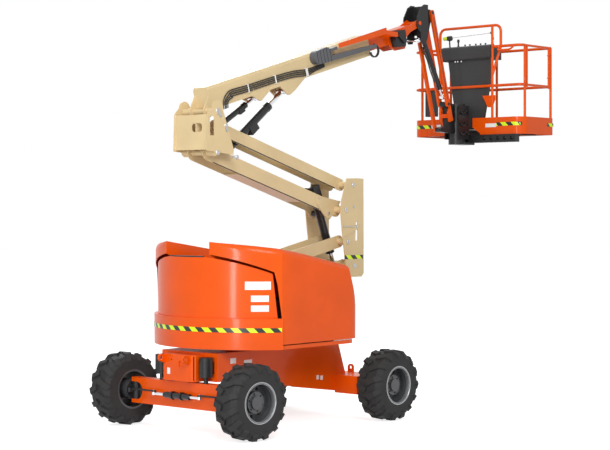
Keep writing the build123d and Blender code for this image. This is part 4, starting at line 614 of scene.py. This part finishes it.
def gussets():
    """Cheek plates where the mid boom meets the upright, with their bolts."""
    for label, out in (("near", NEAR), ("far", FAR)):
        kit = Kit("mid_boom_gusset_" + label, "mid_boom", CREAM)
        kit.plate([Vector((x, out.y * GUSSET_Y, z)) for x, z in GUSSET], out, GUSSET_T)
        kit.done()
    bolts = Kit("gusset_bolts", "mid_boom", STEEL)
    for out in (NEAR, FAR):
        for x, z, r in ((1.124, 2.441, 0.017), (0.960, 2.620, 0.010)):
            bolts.bolt(Vector((x, out.y * (GUSSET_Y + GUSSET_T), z)), out, r)
    bolts.done()


painted_shade_strips()
gussets()


# ---------------------------------------------------------------- hoses
BOOM_FACE = -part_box("boom_hoses")[1].y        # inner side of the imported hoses, at the boom's near face
BOOM_HOSES, BOOM_HOSE_GAP, BOOM_HOSE_R = 4, 0.023, 0.0068
CLAMP_SEAT, CLAMP_T = 0.0215, 0.004
# place along the boom, lower and upper end, half width
CLAMPS = ((0.690, 0.062, 0.156, 0.007), (1.170, 0.060, 0.154, 0.009), (1.735, 0.018, 0.114, 0.020))
LOOP_AT, LOOP_R, LOOP_HOSE_R = (3.035, 0.055), (0.082, 0.078), 0.009
JIB_HOSE_R = 0.0085


def boom_hoses():
    """Hoses along the near side of the main boom, from the riser to the carrier."""
    kit = Kit("boom_hose_lines", "main_boom", HOSE)
    for k in range(BOOM_HOSES):
        drop = BOOM_HOSE_GAP * k
        route = (
            (0.240 + 0.022 * k, -0.034), (0.262 + 0.024 * k, 0.060 - 0.3 * drop),
            (0.330 + 0.03 * k, 0.126 - 0.8 * drop), (0.420, 0.152 - drop), (0.690, 0.144 - drop),
            (1.170, 0.142 - drop), (1.500, 0.130 - drop), (1.735, 0.100 - drop),
            (1.900, 0.098 - 0.7 * drop), (2.080, 0.096 - 0.5 * drop),
        )
        w = BOOM_FACE + 0.011 + 0.002 * (k % 2)
        kit.tube([BOOM(u, v, w) for u, v in route], BOOM_HOSE_R)
    lines = kit.done()
    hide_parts("boom_hoses")


def hose_clamps():
    """Light clamps over the hoses, each a plate on two feet."""
    kit = Kit("boom_hose_clamps", "main_boom", WHITE)
    foot = 0.003
    for u, v0, v1, half in CLAMPS:
        corners = ((-half, v0), (half, v0), (half, v1), (-half, v1))
        kit.plate([BOOM(u + a, v, BOOM_FACE + CLAMP_SEAT) for a, v in corners], NEAR, CLAMP_T)
        for v in (v0, v1):
            corners = ((-half, -foot), (half, -foot), (half, foot), (-half, foot))
            kit.rings([[BOOM(u + a, v + b, w) for a, b in corners]
                       for w in (BOOM_FACE - 0.001, BOOM_FACE + CLAMP_SEAT + CLAMP_T)])
    kit.done()


def carrier_loop():
    """Loop of two hoses at the end of the hose carrier's tube."""
    kit = Kit("carrier_loop", "main_boom", HOSE)
    turns = [math.radians(80 - 32 * i) for i in range(9)]
    for shift in (0.0, 0.018):
        kit.tube([BOOM(LOOP_AT[0] + LOOP_R[0] * math.cos(a), LOOP_AT[1] + LOOP_R[1] * math.sin(a),
                       BOOM_FACE + 0.03 + shift) for a in turns], LOOP_HOSE_R)
    kit.done()


def jib_trim():
    """Dark joint line along the jib's upper arm, and hoses along the jib's cylinder."""
    groove = Kit("jib_arm_line", "jib_arm_upper", BLACK)
    face, half = 0.0822, 0.004
    corners = ((0.07, -half), (1.17, -half), (1.17, half), (0.07, half))
    for w, out in ((face, NEAR), (-face, FAR)):
        groove.plate([JIB(u, v, w) for u, v in corners], out, 0.001)
    groove.done()
    hoses = Kit("jib_hoses", "jib_barrel", HOSE)
    place = jib_cylinder_place()
    for v, w, bulge in ((-0.046, 0.018, 0.004), (-0.050, -0.010, -0.003)):
        hoses.tube([place(u, v + bulge * math.sin(u * 17), w + 0.004 * math.sin(u * 23))
                    for u in (0.10, 0.20, 0.30, 0.42, 0.54, 0.62)], JIB_HOSE_R)
    hoses.done()


def panel_edge():
    """Rubber edge on the top of the tail panel, between the covers."""
    kit = Kit("panel_edge", "turntable", HOSE)
    r = 1.092
    kit.tube([Vector((PANEL_X + r * math.cos(math.radians(a)), r * math.sin(math.radians(a)), 1.972))
              for a in range(166, 195, 4)], 0.009)
    kit.done()


boom_hoses()
hose_clamps()
carrier_loop()
jib_trim()
panel_edge()


# ---------------------------------------------------------------- console and touch sensor
SWITCH = ((0, 0.010), (0.022, 0.007), (0.030, 0.013), (0.042, 0.011))
JOYSTICK = (
    (0, 0.028), (0.015, 0.022), (0.030, 0.012), (0.075, 0.010),
    (0.085, 0.018), (0.115, 0.016), (0.122, 0.008),
)
DASH_EDGE = (
    (4.118, 4.540), (4.106, 4.560), (4.100, 4.660), (4.112, 4.690),
    (4.150, 4.706), (4.200, 4.706), (4.200, 4.532), (4.135, 4.524),
)
DASH_MIDDLE = (4.155, 4.62)
# place across the platform, share by which the section draws in to its middle
DASH_ROWS = ((0.398, 0.2), (0.390, 0.0), (0.0, 0.0), (-0.412, 0.0), (-0.420, 0.2))
SENSOR_X = 4.165
SENSOR_HEAD = ((-0.012, 0.020), (0.0, 0.026), (0.05, 0.026), (0.062, 0.020))
SENSOR_BOX = ((0, 0.034), (0.055, 0.034), (0.062, 0.026))


def console_trim():
    """Switches and joysticks on the console, its dash over the top rail, and clips below."""
    low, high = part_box("console")
    knobs = Kit("console_switches", "platform", BLACK)
    for y in (0.10, 0.02, -0.08, -0.16, -0.24):
        knobs.turned(Vector((low.x + 0.075, y, high.z - 0.006)), UP, SWITCH, 14)
    for y in (-0.335, 0.24):
        knobs.turned(Vector((low.x + 0.11, y, high.z - 0.004)), UP, JOYSTICK, 18)
    knobs.done()
    dash = Kit("console_dash", "platform", PLASTIC)
    cx, cz = DASH_MIDDLE
    dash.rings([[Vector((x + (cx - x) * pull, y, z + (cz - z) * pull)) for x, z in DASH_EDGE]
                for y, pull in DASH_ROWS])
    dash.done()
    clips = Kit("dash_clips", "platform", WHITE)
    for y in (0.185, 0.145, 0.085):
        clips.pin(Vector((4.150, y, 4.502)), FRONT, 0.011, 0.006)
    clips.done()


def touch_sensor():
    """Touch sensor above the console: its head and box at one end, a stop at the other, a wire between."""
    sensor = Kit("touch_sensor", "platform", LIME)
    sensor.turned(Vector((SENSOR_X, 0.385, 4.83)), NEAR, SENSOR_HEAD, 20)
    sensor.done()
    box = Kit("touch_sensor_box", "platform", BLACK)
    box.turned(Vector((SENSOR_X, 0.320, 4.83)), NEAR, SENSOR_BOX, 20)
    box.turned(Vector((SENSOR_X, -0.395, 4.86)), NEAR, ((0, 0.018), (0.03, 0.018)), 16)
    box.tube([(SENSOR_X, 0.295, 4.80), (4.168, 0.292, 4.72), (4.19, 0.28, 4.62), (4.215, 0.26, 4.56)], 0.010)
    box.done()
    wire = Kit("touch_wire", "platform", STEEL)
    wire.tube([(SENSOR_X, 0.26, 4.835), (SENSOR_X, -0.06, 4.846), (SENSOR_X, -0.40, 4.86)], 0.0045, steps=2)
    wire.done()


# ---------------------------------------------------------------- rotator
HUB_LEFT, HUB_RIGHT = 3.808, 4.052
HUB_IN, HUB_OUT = 0.104, 0.116
HUB_LOW, HUB_HIGH = 3.43, 3.88
HUB_T = HUB_OUT - HUB_IN
HUB_HOSE_R = 0.009


def rotator_plates():
    """Thin plates on three sides of the rotator, with bolts and hoses on the near one."""
    hub = Kit("rotator_plates", "platform_support", BLACK)
    plans = ((HUB_LEFT, HUB_RIGHT, -HUB_OUT, -HUB_IN), (HUB_LEFT, HUB_RIGHT, HUB_IN, HUB_OUT),
             (HUB_RIGHT - HUB_T, HUB_RIGHT, -HUB_IN, HUB_IN))
    for x0, x1, y0, y1 in plans:
        hub.rings([[Vector((x, y, z)) for x, y in ((x0, y0), (x1, y0), (x1, y1), (x0, y1))]
                   for z in (HUB_LOW, HUB_HIGH)])
    for z in (3.48, 3.56, 3.66, 3.76, 3.84):
        for x in (3.835, 3.895, 3.96, 4.02):
            hub.bolt(Vector((x, -HUB_OUT - 0.0002, z)), NEAR, 0.010)
    for z in (3.50, 3.62, 3.78):
        route = ((4.03, -0.128, 0.0), (3.97, -0.142, 0.03), (3.90, -0.138, -0.01), (3.84, -0.128, 0.02))
        hub.tube([(x, y, z + rise) for x, y, rise in route], HUB_HOSE_R)
    hub.done()


console_trim()
rotator_plates()
touch_sensor()


# ---------------------------------------------------------------- stage, light and camera
ROOM_LIGHT = 0.45            # strength of the surroundings as light on the part
GROUND_R, GROUND_GREY, GROUND_GLOW = 60.0, 0.62, 0.74
# name, place, aim, size, power in watts
LAMPS = (
    ("key", (-9, -12, 11), (0.5, 0, 2.2), (7, 7), 1650),
    ("fill", (-12.2, -4.8, 3.2), (0.0, 0, 2.0), (1.4, 6), 620),
    ("rim", (6, 9, 10), (1, 0, 3), (6, 6), 700),
)
EYE = (-14.175, -13.365, 2.550)
HEADING = 0.8437             # radians, from +Y towards +X
LENS, SHIFT = 97.94, -0.0334


def shown(tree):
    """Socket that is 1 for what the camera, mirrors and glass see, and 0 for light on the part."""
    path = tree.nodes.new("ShaderNodeLightPath")
    total = path.outputs["Is Camera Ray"]
    for ray in ("Is Glossy Ray", "Is Transmission Ray"):
        larger = tree.nodes.new("ShaderNodeMath")
        larger.operation = "MAXIMUM"
        tree.links.new(total, larger.inputs[0])
        tree.links.new(path.outputs[ray], larger.inputs[1])
        total = larger.outputs[0]
    return total


def studio():
    """White surroundings for the camera, a soft grey room for the light."""
    world = bpy.data.worlds.new("studio")
    bpy.context.scene.world = world
    world.use_nodes = True
    tree = world.node_tree
    tree.nodes.clear()
    seen = tree.nodes.new("ShaderNodeBackground")
    seen.inputs["Color"].default_value = (1, 1, 1, 1)
    room = tree.nodes.new("ShaderNodeBackground")
    room.inputs["Color"].default_value = (1, 1, 1, 1)
    room.inputs["Strength"].default_value = ROOM_LIGHT
    mix = tree.nodes.new("ShaderNodeMixShader")
    out = tree.nodes.new("ShaderNodeOutputWorld")
    tree.links.new(shown(tree), mix.inputs[0])
    tree.links.new(room.outputs[0], mix.inputs[1])
    tree.links.new(seen.outputs[0], mix.inputs[2])
    tree.links.new(mix.outputs[0], out.inputs["Surface"])


def floor():
    """Pale ground: white to the camera, apart from the shadow under the machine."""
    mesh = bpy.data.meshes.new("ground")
    r = GROUND_R
    mesh.from_pydata([(-r, -r, 0), (r, -r, 0), (r, r, 0), (-r, r, 0)], [], [(0, 1, 2, 3)])
    ground = bpy.data.objects.new("ground", mesh)
    bpy.context.collection.objects.link(ground)
    material = bpy.data.materials.new("ground")
    material.use_nodes = True
    tree = material.node_tree
    shader = tree.nodes["Principled BSDF"]
    shader.inputs["Base Color"].default_value = (GROUND_GREY, GROUND_GREY, GROUND_GREY, 1)
    shader.inputs["Roughness"].default_value = 0.9
    glow = tree.nodes.new("ShaderNodeEmission")
    glow.inputs["Strength"].default_value = GROUND_GLOW
    lit = tree.nodes.new("ShaderNodeAddShader")
    tree.links.new(shader.outputs[0], lit.inputs[0])
    tree.links.new(glow.outputs[0], lit.inputs[1])
    mix = tree.nodes.new("ShaderNodeMixShader")
    tree.links.new(shown(tree), mix.inputs[0])
    tree.links.new(shader.outputs[0], mix.inputs[1])
    tree.links.new(lit.outputs[0], mix.inputs[2])
    tree.links.new(mix.outputs[0], tree.nodes["Material Output"].inputs["Surface"])
    mesh.materials.append(material)


def lamp(name, at, aim, size, power):
    """Area light at a point, aimed at another."""
    data = bpy.data.lights.new(name, "AREA")
    data.shape = "RECTANGLE"
    data.size, data.size_y = size
    data.energy = power
    light = bpy.data.objects.new(name, data)
    light.location = at
    light.rotation_euler = (Vector(aim) - Vector(at)).to_track_quat("-Z", "Y").to_euler()
    bpy.context.collection.objects.link(light)


def camera():
    """Level camera on the machine's front near side, with a small drop of the frame."""
    data = bpy.data.cameras.new("camera")
    data.sensor_width = 36.0
    data.lens = LENS
    data.shift_y = SHIFT
    data.clip_end = 200.0
    eye = bpy.data.objects.new("camera", data)
    eye.location = EYE
    eye.rotation_euler = (math.pi / 2, 0, -HEADING)
    bpy.context.collection.objects.link(eye)
    bpy.context.scene.camera = eye


studio()
floor()
for lamp_row in LAMPS:
    lamp(*lamp_row)
camera()
scene = bpy.context.scene
scene.view_settings.view_transform = "Standard"
scene.view_settings.look = "None"
